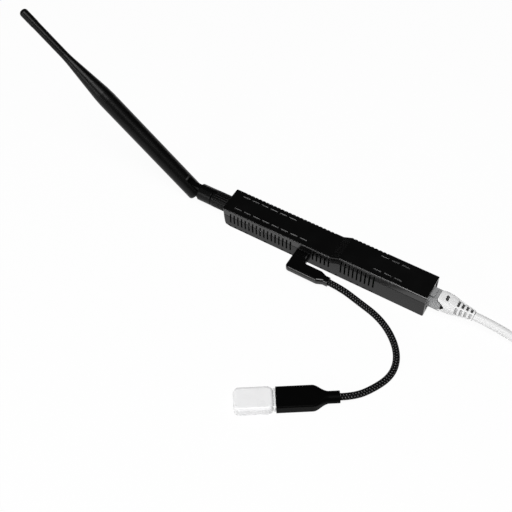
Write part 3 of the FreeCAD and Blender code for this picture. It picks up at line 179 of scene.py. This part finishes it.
def material(name, **settings):
    """A new node material whose Principled shader has plain values on its own sockets."""
    made = bpy.data.materials.new(name)
    made.use_nodes = True
    shader = made.node_tree.nodes["Principled BSDF"]
    for socket, amount in settings.items():
        shader.inputs[socket.replace("_", " ")].default_value = amount
    return made


def node(made, kind, **settings):
    """One more node in a material, with its own plain settings."""
    added = made.node_tree.nodes.new(kind)
    for socket, amount in settings.items():
        if hasattr(added, socket):
            setattr(added, socket, amount)
        else:
            added.inputs[socket.replace("_", " ")].default_value = amount
    return added


def link(made, start, end):
    """Join the output of one node to the input of another, each given as (node, socket)."""
    made.node_tree.links.new(start[0].outputs[start[1]], end[0].inputs[end[1]])


def shader_of(made):
    """A material's main shader."""
    return made.node_tree.nodes["Principled BSDF"]


def wear(name, piece):
    """Give every face of a piece one material."""
    piece.data.materials.clear()
    piece.data.materials.append(name)


def braid_material():
    """Black yarn with light slanted flecks: narrow across one set of strands, broad along the other."""
    made = material("black_braid", Roughness=0.6, Specular_IOR_Level=0.06)
    place = node(made, "ShaderNodeUVMap", uv_map="round_and_along")
    parts = node(made, "ShaderNodeSeparateXYZ")
    link(made, (place, "UV"), (parts, "Vector"))
    waves = []
    for sign, narrowing in ((1, 0.55), (-1, 0.1)):
        turned = node(made, "ShaderNodeMath", operation="MULTIPLY_ADD")
        turned.inputs[1].default_value = sign
        link(made, (parts, "Y"), (turned, 0))
        link(made, (parts, "X"), (turned, 2))
        scaled = node(made, "ShaderNodeMath", operation="MULTIPLY")
        scaled.inputs[1].default_value = braid_strands * math.pi
        link(made, (turned, "Value"), (scaled, 0))
        wave = node(made, "ShaderNodeMath", operation="COSINE")
        link(made, (scaled, "Value"), (wave, 0))
        narrowed = node(made, "ShaderNodeMath", operation="SUBTRACT")
        narrowed.inputs[1].default_value = narrowing
        link(made, (wave, "Value"), (narrowed, 0))
        waves.append(narrowed)
    meet = node(made, "ShaderNodeMath", operation="MINIMUM")
    link(made, (waves[0], "Value"), (meet, 0))
    link(made, (waves[1], "Value"), (meet, 1))
    fleck = node(made, "ShaderNodeMapRange")
    fleck.inputs["From Min"].default_value = 0.05
    fleck.inputs["From Max"].default_value = 0.3
    link(made, (meet, "Value"), (fleck, "Value"))
    colours = node(made, "ShaderNodeMix", data_type="RGBA")
    colours.inputs["A"].default_value = (0.0025, 0.0025, 0.0027, 1)
    colours.inputs["B"].default_value = (0.15, 0.15, 0.153, 1)
    link(made, (fleck, "Result"), (colours, "Factor"))
    link(made, (colours, "Result"), (shader_of(made), "Base Color"))
    grain = node(made, "ShaderNodeTexNoise", Scale=9000.0, Detail=2.0)
    spot = node(made, "ShaderNodeTexCoord")
    link(made, (spot, "Object"), (grain, "Vector"))
    bump = node(made, "ShaderNodeBump", Strength=0.3, Distance=0.00004)
    link(made, (grain, "Fac"), (bump, "Height"))
    link(made, (bump, "Normal"), (shader_of(made), "Normal"))
    return made


usb_cord = braided_sleeve("usb_cord_sleeve", usb_path, usb_cord_diameter)
wear(braid_material(), usb_cord)
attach(usb_cord, "housing")
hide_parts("usb_cord")

# The network lead is a smooth round white cable in one piece from the plug in the stick to its other plug.
# What the photograph doesn't show of it lies in a neat coil of six turns just past the view's right edge.
cable_diameter = 5.6
layer_step = 4.85
coil_centre = (168.0, 32.0)
cable_lead = [
    (105.0, 0.0, 9.25),
    (116.5, 0.2, 8.4),
    (129.5, 0.1, 6.0),
    (142.5, -0.2, 3.5),
    (153.0, -0.4, 2.86),
]
cable_tail = [
    (194.8, 47.0, 9.0),
    (196.0, 65.0, 3.9),
    (195.4, 81.45, 4.35),
]
coil_turns = [(32.4, 0), (26.8, 0), (21.2, 0), (24.0, 1), (29.6, 1), (26.8, 2)]


def coil_route():
    """The turns as a helix of points: 14 to a turn, each turn's radius and layer passing into the next
    over its last quarter, from the entry below the coil's centre to the exit on its right."""
    points = []
    steps = 14
    total = len(coil_turns) * steps + 4
    for step in range(total):
        turn, part = divmod(step, steps)
        radius, layer = coil_turns[min(turn, len(coil_turns) - 1)]
        next_radius, next_layer = coil_turns[min(turn + 1, len(coil_turns) - 1)]
        blend = max(0.0, part / steps - 0.72) / 0.28
        radius += (next_radius - radius) * blend
        layer += (next_layer - layer) * blend
        angle = -math.pi / 2 + 2 * math.pi * step / steps
        chord = radius / math.cos(math.pi / steps)
        points.append((coil_centre[0] + chord * math.cos(angle), coil_centre[1] + chord * math.sin(angle),
                       cable_diameter / 2 + 0.06 + layer * layer_step))
    return points


cable_line = nurbs_line("network_cable_line", cable_lead + coil_route() + cable_tail)
cable_path = line_points(cable_line, 1.0 * mm)
cable = cable_line
cable.name = "network_cable_jacket"
cable.data.bevel_depth = cable_diameter / 2 * mm
cable.data.bevel_resolution = 7
cable.data.use_fill_caps = True


def soft_white(name, low, high):
    """Smooth soft PVC whose shade varies between two greys over centimetres, with a fine ripple."""
    made = material(name, Roughness=0.5, Specular_IOR_Level=0.3)
    spot = node(made, "ShaderNodeTexCoord")
    cloud = node(made, "ShaderNodeTexNoise", Scale=60.0, Detail=3.0)
    link(made, (spot, "Object"), (cloud, "Vector"))
    colours = node(made, "ShaderNodeMix", data_type="RGBA")
    colours.inputs["A"].default_value = (low, low, low, 1)
    colours.inputs["B"].default_value = (high, high, high, 1)
    link(made, (cloud, "Fac"), (colours, "Factor"))
    link(made, (colours, "Result"), (shader_of(made), "Base Color"))
    ripple = node(made, "ShaderNodeTexNoise", Scale=700.0, Detail=2.0)
    link(made, (spot, "Object"), (ripple, "Vector"))
    bump = node(made, "ShaderNodeBump", Strength=0.08, Distance=0.00005)
    link(made, (ripple, "Fac"), (bump, "Height"))
    link(made, (bump, "Normal"), (shader_of(made), "Normal"))
    return made


white_jacket = soft_white("white_cable_jacket", 0.80, 0.86)
wear(white_jacket, cable)
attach(cable, "housing")
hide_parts("network_cable", "network_cable_coil", "network_cable_tail")

# Each end of the network lead has a soft white boot, moulded in one piece and pushed on behind the plug.
# A hood reaches over the plug's latch, with a push pad and a crescent opening, and ribs let the tail flex.
boot_stations = np.array([18.2, 23.5, 27.5, 30.5, 35.5, 40.5, 42.5])
boot_half_width = np.array([6.1, 6.4, 6.2, 5.5, 4.6, 3.8, 3.4])
boot_top = np.array([5.8, 6.0, 5.7, 5.0, 4.2, 3.6, 3.4])
boot_bottom = np.array([3.6, 3.6, 3.6, 3.6, 3.5, 3.4, 3.3])
boot_squareness = np.array([3.6, 3.4, 3.0, 2.6, 2.2, 2.0, 2.0])
boot_front_top, boot_notch, boot_front_side, boot_end, boot_cavity_end = 18.5, 24.0, 20.2, 42.45, 25.4
rib_first, rib_pitch, rib_width, rib_depth, rib_groove, rib_core = 31.45, 3.0, 1.5, 2.2, 1.2, 2.4
pad_centre, pad_radius, crescent_shift, crescent_half, crescent_depth = 28.1, 3.6, 1.7, 1.7, 2.0


def smooth_step(value, low, high):
    """0 below low, 1 above high, and a smooth S between them."""
    part = np.clip((value - low) / (high - low), 0, 1)
    return part * part * (3 - 2 * part)


def boot_ring(x, angle, inset_side, inset_top):
    """A superellipse about the plug's middle line whose half width, top, bottom and squareness change with x."""
    sine, cosine = np.sin(angle), np.cos(angle)
    power = 2 / np.interp(x, boot_stations, boot_squareness)
    half = np.interp(x, boot_stations, boot_half_width) - inset_side
    top = np.interp(x, boot_stations, boot_top) - inset_top
    bottom = np.interp(x, boot_stations, boot_bottom) - inset_side * 0.3
    across = half * np.sign(sine) * np.abs(sine) ** power
    up = np.where(cosine > 0, top, bottom) * np.sign(cosine) * np.abs(cosine) ** power
    return across, up


def boot_skin(name, tip, along_x):
    """Outer wall from tail to front, then an inner wall back into the hood. The front edge runs back from the
    top into a notch on each upper side and forward again below; slots between ribs (deep on top, grooves
    on one side), the pad's rim and the crescent are cut in. The deep cuts' floors and the hood's inside are
    dark and the grooves' floors grey, standing in for the shade in slots that are deeper on the real boot."""
    around, rows, inner_rows = 168, 130, 24
    angle = np.linspace(-math.pi, math.pi, around, endpoint=False)[None, :]
    turn = np.abs(angle)
    front = (boot_front_top + (boot_notch - boot_front_top) * smooth_step(turn, 0.35, 1.35)
             - (boot_notch - boot_front_side) * smooth_step(turn, 1.35, 1.85))
    share = np.linspace(1, 0, rows)[:, None]
    x = front + (boot_end - front) * share
    across, up = boot_ring(x, angle, 0.0, 0.0)
    open_top = smooth_step(angle, -0.3, -0.2) * (1 - smooth_step(angle, 0.65, 0.75))
    groove_side = smooth_step(-angle, 0.5, 0.65) * (1 - smooth_step(-angle, 1.8, 2.1))
    phase = (x - rib_first) / rib_pitch
    nearest = np.clip(np.round(phase), 0, 3)
    gap = 1 - smooth_step(np.abs(phase - nearest) * rib_pitch, rib_width * 0.36, rib_width * 0.56)
    opening = np.clip(np.hypot(across, up) - rib_core, 0, rib_depth) * open_top
    cut = gap * (opening + rib_groove * groove_side)
    above = angle * 0 + (np.cos(angle) > 0)
    pad = np.hypot(x - pad_centre, across)
    hole = np.hypot(x - pad_centre + crescent_shift, across)
    crescent = smooth_step(pad, pad_radius - 0.1, pad_radius + 0.15) * (1 - smooth_step(hole, pad_radius - 0.15,
                                                                                       pad_radius + 0.1))
    crescent = crescent * (1 - smooth_step(np.abs(across), crescent_half, crescent_half + 0.4))
    rim = np.exp(-((pad - pad_radius) / 0.22) ** 2) * 0.35
    cut = np.maximum(cut, above * np.maximum(crescent * crescent_depth, rim))
    shrink = 1 - cut / np.hypot(across, up)
    outer = np.stack([x, across * shrink, up * shrink], -1)
    depth = np.linspace(0, 1, inner_rows)[:, None]
    x = front + (boot_cavity_end - front) * depth
    inner_across, inner_up = boot_ring(x, angle, 0.45, 1.0 + 1.3 * smooth_step(depth, 0.3, 0.9))
    points = np.concatenate([outer, np.stack([x, inner_across, inner_up], -1)])
    if along_x:
        place = np.stack([points[..., 0], points[..., 1], points[..., 2]], -1)
    else:
        place = np.stack([points[..., 1], -points[..., 0], points[..., 2]], -1)
    piece = grid_mesh(name, (place + np.array(tip)) * mm)
    # Floors of the deep cuts, the crescent and the hood's inside get painted shade, groove floors a lighter painted
    # shade, and the rest stays white.
    dark = np.maximum(crescent * above, gap * open_top) > 0.5
    groove = gap * groove_side > 0.5
    white_or_painted_shade_index = np.where(dark, 1, np.where(groove, 2, 0)).ravel()
    white_or_painted_shade_index = np.concatenate([white_or_painted_shade_index, np.ones((inner_rows - 1) * around), [0, 1]])
    for look in (white_jacket, boot_painted_shade, boot_groove_painted_shade):
        piece.data.materials.append(look)
    piece.data.polygons.foreach_set("material_index", white_or_painted_shade_index.astype(np.int32))
    return piece


# Darker copies of the white jacket are painted shade: a near-black one for the deep cuts and the hood's inside, a grey
# one for the groove floors.
boot_painted_shade = soft_white("white_boot_painted_shade", 0.05, 0.07)
boot_groove_painted_shade = soft_white("white_boot_groove_painted_shade", 0.42, 0.48)
network_boot = boot_skin("network_boot", (62.45, 0.0, 9.25), True)
far_boot = boot_skin("far_boot", (195.4, 124.0, 4.35), False)
for boot, hidden in ((network_boot, "network_plug_boot"), (far_boot, "far_plug_boot")):
    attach(boot, "housing")
    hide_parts(hidden)

# The housing is two injection-moulded shells of black plastic; the cover is smoother than the lower shell.
# The cover's skirt and the lower shell meet in the stepped seam; their sharp edges are slightly rounded.


def moulded_black(name, shade, gloss, roughness, grain_size, grain_depth, edge):
    """Dull black plastic: fine grain, a faint cloudiness, and edges that are rounded in shading."""
    made = material(name, Specular_IOR_Level=gloss)
    spot = node(made, "ShaderNodeTexCoord")
    grain = node(made, "ShaderNodeTexNoise", Scale=1 / grain_size, Detail=3.0, Roughness=0.6)
    cloud = node(made, "ShaderNodeTexNoise", Scale=90.0, Detail=4.0)
    for texture in (grain, cloud):
        link(made, (spot, "Object"), (texture, "Vector"))
    colours = node(made, "ShaderNodeMix", data_type="RGBA")
    colours.inputs["A"].default_value = (shade * 0.85, shade * 0.85, shade * 0.87, 1)
    colours.inputs["B"].default_value = (shade * 1.15, shade * 1.15, shade * 1.17, 1)
    link(made, (cloud, "Fac"), (colours, "Factor"))
    link(made, (colours, "Result"), (shader_of(made), "Base Color"))
    rough = node(made, "ShaderNodeMapRange")
    rough.inputs["To Min"].default_value = roughness - 0.06
    rough.inputs["To Max"].default_value = roughness + 0.06
    link(made, (cloud, "Fac"), (rough, "Value"))
    link(made, (rough, "Result"), (shader_of(made), "Roughness"))
    rounded = node(made, "ShaderNodeBevel", samples=4, Radius=edge)
    bump = node(made, "ShaderNodeBump", Strength=0.35, Distance=grain_depth)
    link(made, (grain, "Fac"), (bump, "Height"))
    link(made, (rounded, "Normal"), (bump, "Normal"))
    link(made, (bump, "Normal"), (shader_of(made), "Normal"))
    return made


shell_black = moulded_black("shell_black_plastic", 0.0016, 0.25, 0.27, 0.00035, 0.00003, 0.0003)
cover_black = moulded_black("cover_black_plastic", 0.0012, 0.8, 0.22, 0.00035, 0.00001, 0.0003)
wear(shell_black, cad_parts["bottom_shell"])
wear(cover_black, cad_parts["top_cover"])

# The roof's slots have sloping moulded rims of the cover's own plastic, one ring inside each opening.
# Their slopes face the viewer, so they catch the light as the thin pale line of each slot.
slot_length, slot_width, slot_offset, slot_pitch = 5.5, 0.95, 5.75, 7.3
low_roof, high_roof = 15.8, 19.0
slot_rows = [(-68.55, low_roof, -1, 8), (-68.55, low_roof, 1, 6), (36.65, high_roof, -1, 3),
             (36.65, high_roof, 1, 3)]
rim_reach, rim_drop, rim_thick, rim_points, rim_fit = 0.26, 0.32, 0.15, 48, 0.01


def slot_rims(name):
    """For each slot, four like rectangles of points make one closed ring: the slope's top edge at the opening,
    its lower edge nearer the middle, and the same two straight down again as the ring's back."""
    turn = np.linspace(0, 2 * math.pi, rim_points, endpoint=False)
    rectangle = np.stack([np.sign(wave) * np.minimum(np.abs(wave) * 1.5, 1) for wave in (np.cos(turn), np.sin(turn))],
                         -1)
    half = np.array([slot_length, slot_width]) / 2 - rim_fit
    levels = [(0.0, -rim_fit), (rim_reach, -rim_drop), (rim_reach, -rim_drop - rim_thick), (0.0, -rim_drop - rim_thick)]
    ring = np.stack([np.concatenate([rectangle * (half - inset), np.full((rim_points, 1), depth)], 1)
                     for inset, depth in levels])
    places = np.array([(first + slot_length / 2 + slot_pitch * index, slot_offset * side, top)
                       for first, top, side, count in slot_rows for index in range(count)])
    corner = np.arange(4 * rim_points).reshape(4, rim_points)
    below = np.roll(corner, -1, axis=0)
    quads = np.stack([corner, np.roll(corner, -1, axis=1), np.roll(below, -1, axis=1), below], -1).reshape(-1, 4)
    faces = (np.arange(len(places))[:, None, None] * corner.size + quads[None]).reshape(-1, 4)
    mesh = bpy.data.meshes.new(name)
    mesh.from_pydata(((places[:, None, None] + ring[None]).reshape(-1, 3) * mm).tolist(), [], faces.tolist())
    return outward_piece(name, mesh)


rims = slot_rims("roof_slot_rims")
wear(moulded_black("slot_rim_black_plastic", 0.003, 0.5, 0.3, 0.00035, 0.000003, 0.00001), rims)
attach(rims, "housing")

# The antenna is soft matt black elastomer: a coupling nut, a swivelling barrel, a steel pin and a long rod.
# The rod is moulded over its radiator, so it is one smooth form with a separate rounded cap at its tip.
antenna_black = moulded_black("antenna_black_elastomer", 0.0014, 0.18, 0.34, 0.0003, 0.00001, 0.0003)
for name in ("antenna_nut", "antenna_knuckle", "antenna_whip", "antenna_tip"):
    wear(antenna_black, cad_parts[name])


def plated_steel(name, colour, roughness):
    """Bright plated sheet: a metal with faint drawn lines along it and uneven gloss."""
    made = material(name, Metallic=1.0)
    spot = node(made, "ShaderNodeTexCoord")
    stretch = node(made, "ShaderNodeMapping", Scale=(300.0, 4000.0, 4000.0))
    link(made, (spot, "Object"), (stretch, "Vector"))
    lines = node(made, "ShaderNodeTexNoise", Scale=1.0, Detail=2.0)
    link(made, (stretch, "Vector"), (lines, "Vector"))
    colours = node(made, "ShaderNodeMix", data_type="RGBA")
    colours.inputs["A"].default_value = tuple(part * 0.88 for part in colour) + (1,)
    colours.inputs["B"].default_value = tuple(colour) + (1,)
    link(made, (lines, "Fac"), (colours, "Factor"))
    link(made, (colours, "Result"), (shader_of(made), "Base Color"))
    rough = node(made, "ShaderNodeMapRange")
    rough.inputs["To Min"].default_value = roughness - 0.08
    rough.inputs["To Max"].default_value = roughness + 0.08
    link(made, (lines, "Fac"), (rough, "Value"))
    link(made, (rough, "Result"), (shader_of(made), "Roughness"))
    bump = node(made, "ShaderNodeBump", Strength=0.1, Distance=0.00002)
    link(made, (lines, "Fac"), (bump, "Height"))
    link(made, (bump, "Normal"), (shader_of(made), "Normal"))
    return made


steel = plated_steel("plated_steel", (0.62, 0.62, 0.61), 0.28)
gold = plated_steel("gold_plate", (0.85, 0.64, 0.28), 0.25)
for name in ("hinge_pin", "board_screws", "network_jack", "usb_c_receptacle", "usb_c_plug_shell", "usb_a_shell",
             "mesh_radio_module", "wireless_module", "poe_capacitor"):
    wear(steel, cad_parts[name])
for name in ("antenna_jack", "network_plug_contacts", "far_plug_contacts"):
    wear(gold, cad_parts[name])

# The circuit board is glass fibre under green solder mask; the parts on it are black moulded packages.


def solder_mask():
    """Dark green mask over copper tracks: straight tracks a few millimetres apart, a little lighter."""
    made = material("green_solder_mask", Roughness=0.3, Coat_Weight=0.3)
    spot = node(made, "ShaderNodeTexCoord")
    tracks = node(made, "ShaderNodeTexBrick", Scale=220.0, offset=0.5)
    tracks.inputs["Color1"].default_value = (0.003, 0.012, 0.006, 1)
    tracks.inputs["Color2"].default_value = (0.004, 0.015, 0.007, 1)
    tracks.inputs["Mortar"].default_value = (0.006, 0.022, 0.011, 1)
    tracks.inputs["Mortar Size"].default_value = 0.05
    link(made, (spot, "Object"), (tracks, "Vector"))
    link(made, (tracks, "Color"), (shader_of(made), "Base Color"))
    bump = node(made, "ShaderNodeBump", Strength=0.3, Distance=0.00005)
    link(made, (tracks, "Fac"), (bump, "Height"))
    link(made, (bump, "Normal"), (shader_of(made), "Normal"))
    return made


wear(solder_mask(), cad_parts["main_board"])
package_black = moulded_black("package_black", 0.012, 0.4, 0.6, 0.0004, 0.00003, 0.0001)
for name in ("usb_bridge_chip", "network_chip", "poe_transformer", "usb_c_tongue", "usb_a_tongue"):
    wear(package_black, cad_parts[name])

# The right-angle plug is moulded in smooth black plastic that shines along its rounded edges.
plug_black = moulded_black("plug_gloss_black", 0.0018, 0.42, 0.12, 0.001, 0.000004, 0.0005)
wear(plug_black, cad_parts["usb_c_plug"])

# The larger USB plug's grip is a dull soft-touch moulding, one piece with its S-shaped shoulder and neck.
grip_black = moulded_black("grip_soft_black", 0.0012, 0.02, 0.45, 0.0004, 0.00002, 0.0003)
wear(grip_black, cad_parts["usb_a_overmould"])


# The cap on the larger plug is a thick milky clear moulding, closed all round and open towards the grip.
def milky_clear():
    """Milky plastic: pale, with light scattered just under its skin and a soft uneven gloss."""
    made = material("milky_clear_plastic", IOR=1.46, Subsurface_Weight=0.15, Subsurface_Scale=0.002,
                    Subsurface_Radius=(1, 1, 1))
    spot = node(made, "ShaderNodeTexCoord")
    cloud = node(made, "ShaderNodeTexNoise", Scale=150.0, Detail=3.0)
    link(made, (spot, "Object"), (cloud, "Vector"))
    colours = node(made, "ShaderNodeMix", data_type="RGBA")
    colours.inputs["A"].default_value = (0.86, 0.86, 0.865, 1)
    colours.inputs["B"].default_value = (0.93, 0.93, 0.935, 1)
    link(made, (cloud, "Fac"), (colours, "Factor"))
    link(made, (colours, "Result"), (shader_of(made), "Base Color"))
    rough = node(made, "ShaderNodeMapRange")
    rough.inputs["To Min"].default_value = 0.22
    rough.inputs["To Max"].default_value = 0.34
    link(made, (cloud, "Fac"), (rough, "Value"))
    link(made, (rough, "Result"), (shader_of(made), "Roughness"))
    bump = node(made, "ShaderNodeBump", Strength=0.1, Distance=0.0001)
    link(made, (cloud, "Fac"), (bump, "Height"))
    link(made, (bump, "Normal"), (shader_of(made), "Normal"))
    return made


clear_cap = milky_clear()
wear(clear_cap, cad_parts["usb_a_cap"])
cap_place, cap_turn = (26.0, -110.6, 4.3), math.radians(33.5)


def cap_collar(name):
    """The cap's thin lip round the metal shell: a squarish superellipse loop, outer and inner, from the cap's
    mouth almost to the grip's face, closed both round and along."""
    turn = np.linspace(0, 2 * math.pi, 96, endpoint=False)[None, :]
    along = np.array([-1.5, -0.12, -0.12, -1.5])[:, None]
    inset = np.array([0.0, 0.0, 0.5, 0.5])[:, None]
    across = (6.75 - inset) * np.sign(np.cos(turn)) * np.abs(np.cos(turn)) ** 0.3
    up = (3.05 - inset) * np.sign(np.sin(turn)) * np.abs(np.sin(turn)) ** 0.3
    x = along * math.cos(cap_turn) - across * math.sin(cap_turn)
    y = along * math.sin(cap_turn) + across * math.cos(cap_turn)
    return grid_mesh(name, (np.stack([x, y, up], -1) + np.array(cap_place)) * mm, close_along=True)


collar = cap_collar("cap_collar")
wear(clear_cap, collar)
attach(collar, "housing")


# The network plugs are clear polycarbonate, a little grey where they are thick.
def plug_clear():
    """Clear plastic with a faint grey body and fine moulding marks."""
    made = material("clear_plug_plastic", Transmission_Weight=0.3, IOR=1.5)
    spot = node(made, "ShaderNodeTexCoord")
    cloud = node(made, "ShaderNodeTexNoise", Scale=400.0, Detail=2.0)
    link(made, (spot, "Object"), (cloud, "Vector"))
    colours = node(made, "ShaderNodeMix", data_type="RGBA")
    colours.inputs["A"].default_value = (0.42, 0.425, 0.43, 1)
    colours.inputs["B"].default_value = (0.47, 0.475, 0.48, 1)
    link(made, (cloud, "Fac"), (colours, "Factor"))
    link(made, (colours, "Result"), (shader_of(made), "Base Color"))
    rough = node(made, "ShaderNodeMapRange")
    rough.inputs["To Min"].default_value = 0.12
    rough.inputs["To Max"].default_value = 0.22
    link(made, (cloud, "Fac"), (rough, "Value"))
    link(made, (rough, "Result"), (shader_of(made), "Roughness"))
    return made


clear_plug = plug_clear()
for name in ("network_plug", "far_network_plug", "status_leds"):
    wear(clear_plug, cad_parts[name])

# The stage is a plain pale floor that looks white, lit by a wide soft lamp overhead and a smaller low one.
# The surroundings are pale at the horizon and dim overhead, as in a studio with its ceiling lights off.
def pale_floor():
    """One wide flat square that looks white, directly and in reflections, and keeps a faint shadow."""
    half = 3.0
    mesh = bpy.data.meshes.new("floor")
    mesh.from_pydata([(-half, -half, 0), (half, -half, 0), (half, half, 0), (-half, half, 0)], [], [(0, 1, 2, 3)])
    floor = bpy.data.objects.new("floor", mesh)
    bpy.context.scene.collection.objects.link(floor)
    made = material("floor_white", Roughness=0.9, Base_Color=(0.9, 0.9, 0.9, 1), Specular_IOR_Level=0.0)
    glow = node(made, "ShaderNodeEmission", Color=(1, 1, 1, 1), Strength=1.0)
    mixed = node(made, "ShaderNodeMixShader")
    seen = node(made, "ShaderNodeLightPath")
    either = node(made, "ShaderNodeMath", operation="MAXIMUM")
    link(made, (seen, "Is Camera Ray"), (either, 0))
    link(made, (seen, "Is Glossy Ray"), (either, 1))
    any_of = node(made, "ShaderNodeMath", operation="MAXIMUM")
    link(made, (either, "Value"), (any_of, 0))
    link(made, (seen, "Is Transmission Ray"), (any_of, 1))
    some = node(made, "ShaderNodeMath", operation="MULTIPLY")
    some.inputs[1].default_value = 0.95
    link(made, (any_of, "Value"), (some, 0))
    link(made, (some, "Value"), (mixed, "Fac"))
    made.node_tree.links.new(shader_of(made).outputs["BSDF"], mixed.inputs[1])
    made.node_tree.links.new(glow.outputs["Emission"], mixed.inputs[2])
    link(made, (mixed, "Shader"), (made.node_tree.nodes["Material Output"], "Surface"))
    wear(made, floor)


pale_floor()


def soft_lamp(name, place, aim, width, power):
    """A wide square lamp that looks at one point."""
    data = bpy.data.lights.new(name, "AREA")
    data.size = width
    data.energy = power
    lamp = bpy.data.objects.new(name, data)
    direction = Vector(aim) - Vector(place)
    turn = direction.to_track_quat("-Z", "Y").to_matrix().to_4x4()
    lamp.matrix_world = Matrix.Translation(Vector(place)) @ turn
    bpy.context.scene.collection.objects.link(lamp)


soft_lamp("overhead_lamp", (0.2, -0.35, 1.2), (0, 0, 0), 0.7, 13.6)
soft_lamp("near_left_lamp", (-0.32, -0.95, 0.45), (0, 0, 0), 0.35, 3.0)


def studio_world():
    """Pale at the horizon, fading within 6 degrees to a dim dome overhead, for every kind of ray."""
    world = bpy.data.worlds.new("studio")
    bpy.context.scene.world = world
    world.use_nodes = True
    tree = world.node_tree
    place = tree.nodes.new("ShaderNodeTexCoord")
    parts = tree.nodes.new("ShaderNodeSeparateXYZ")
    height = tree.nodes.new("ShaderNodeMapRange")
    height.interpolation_type = "SMOOTHSTEP"
    height.inputs["From Min"].default_value = 0.02
    height.inputs["From Max"].default_value = 0.1
    height.inputs["To Min"].default_value = 1.0
    height.inputs["To Max"].default_value = 0.02
    tree.links.new(place.outputs["Generated"], parts.inputs["Vector"])
    tree.links.new(parts.outputs["Z"], height.inputs["Value"])
    tree.links.new(height.outputs["Result"], tree.nodes["Background"].inputs["Strength"])
    tree.nodes["Background"].inputs["Color"].default_value = (1, 1, 1, 1)


studio_world()
bpy.context.scene.view_settings.view_transform = "Standard"
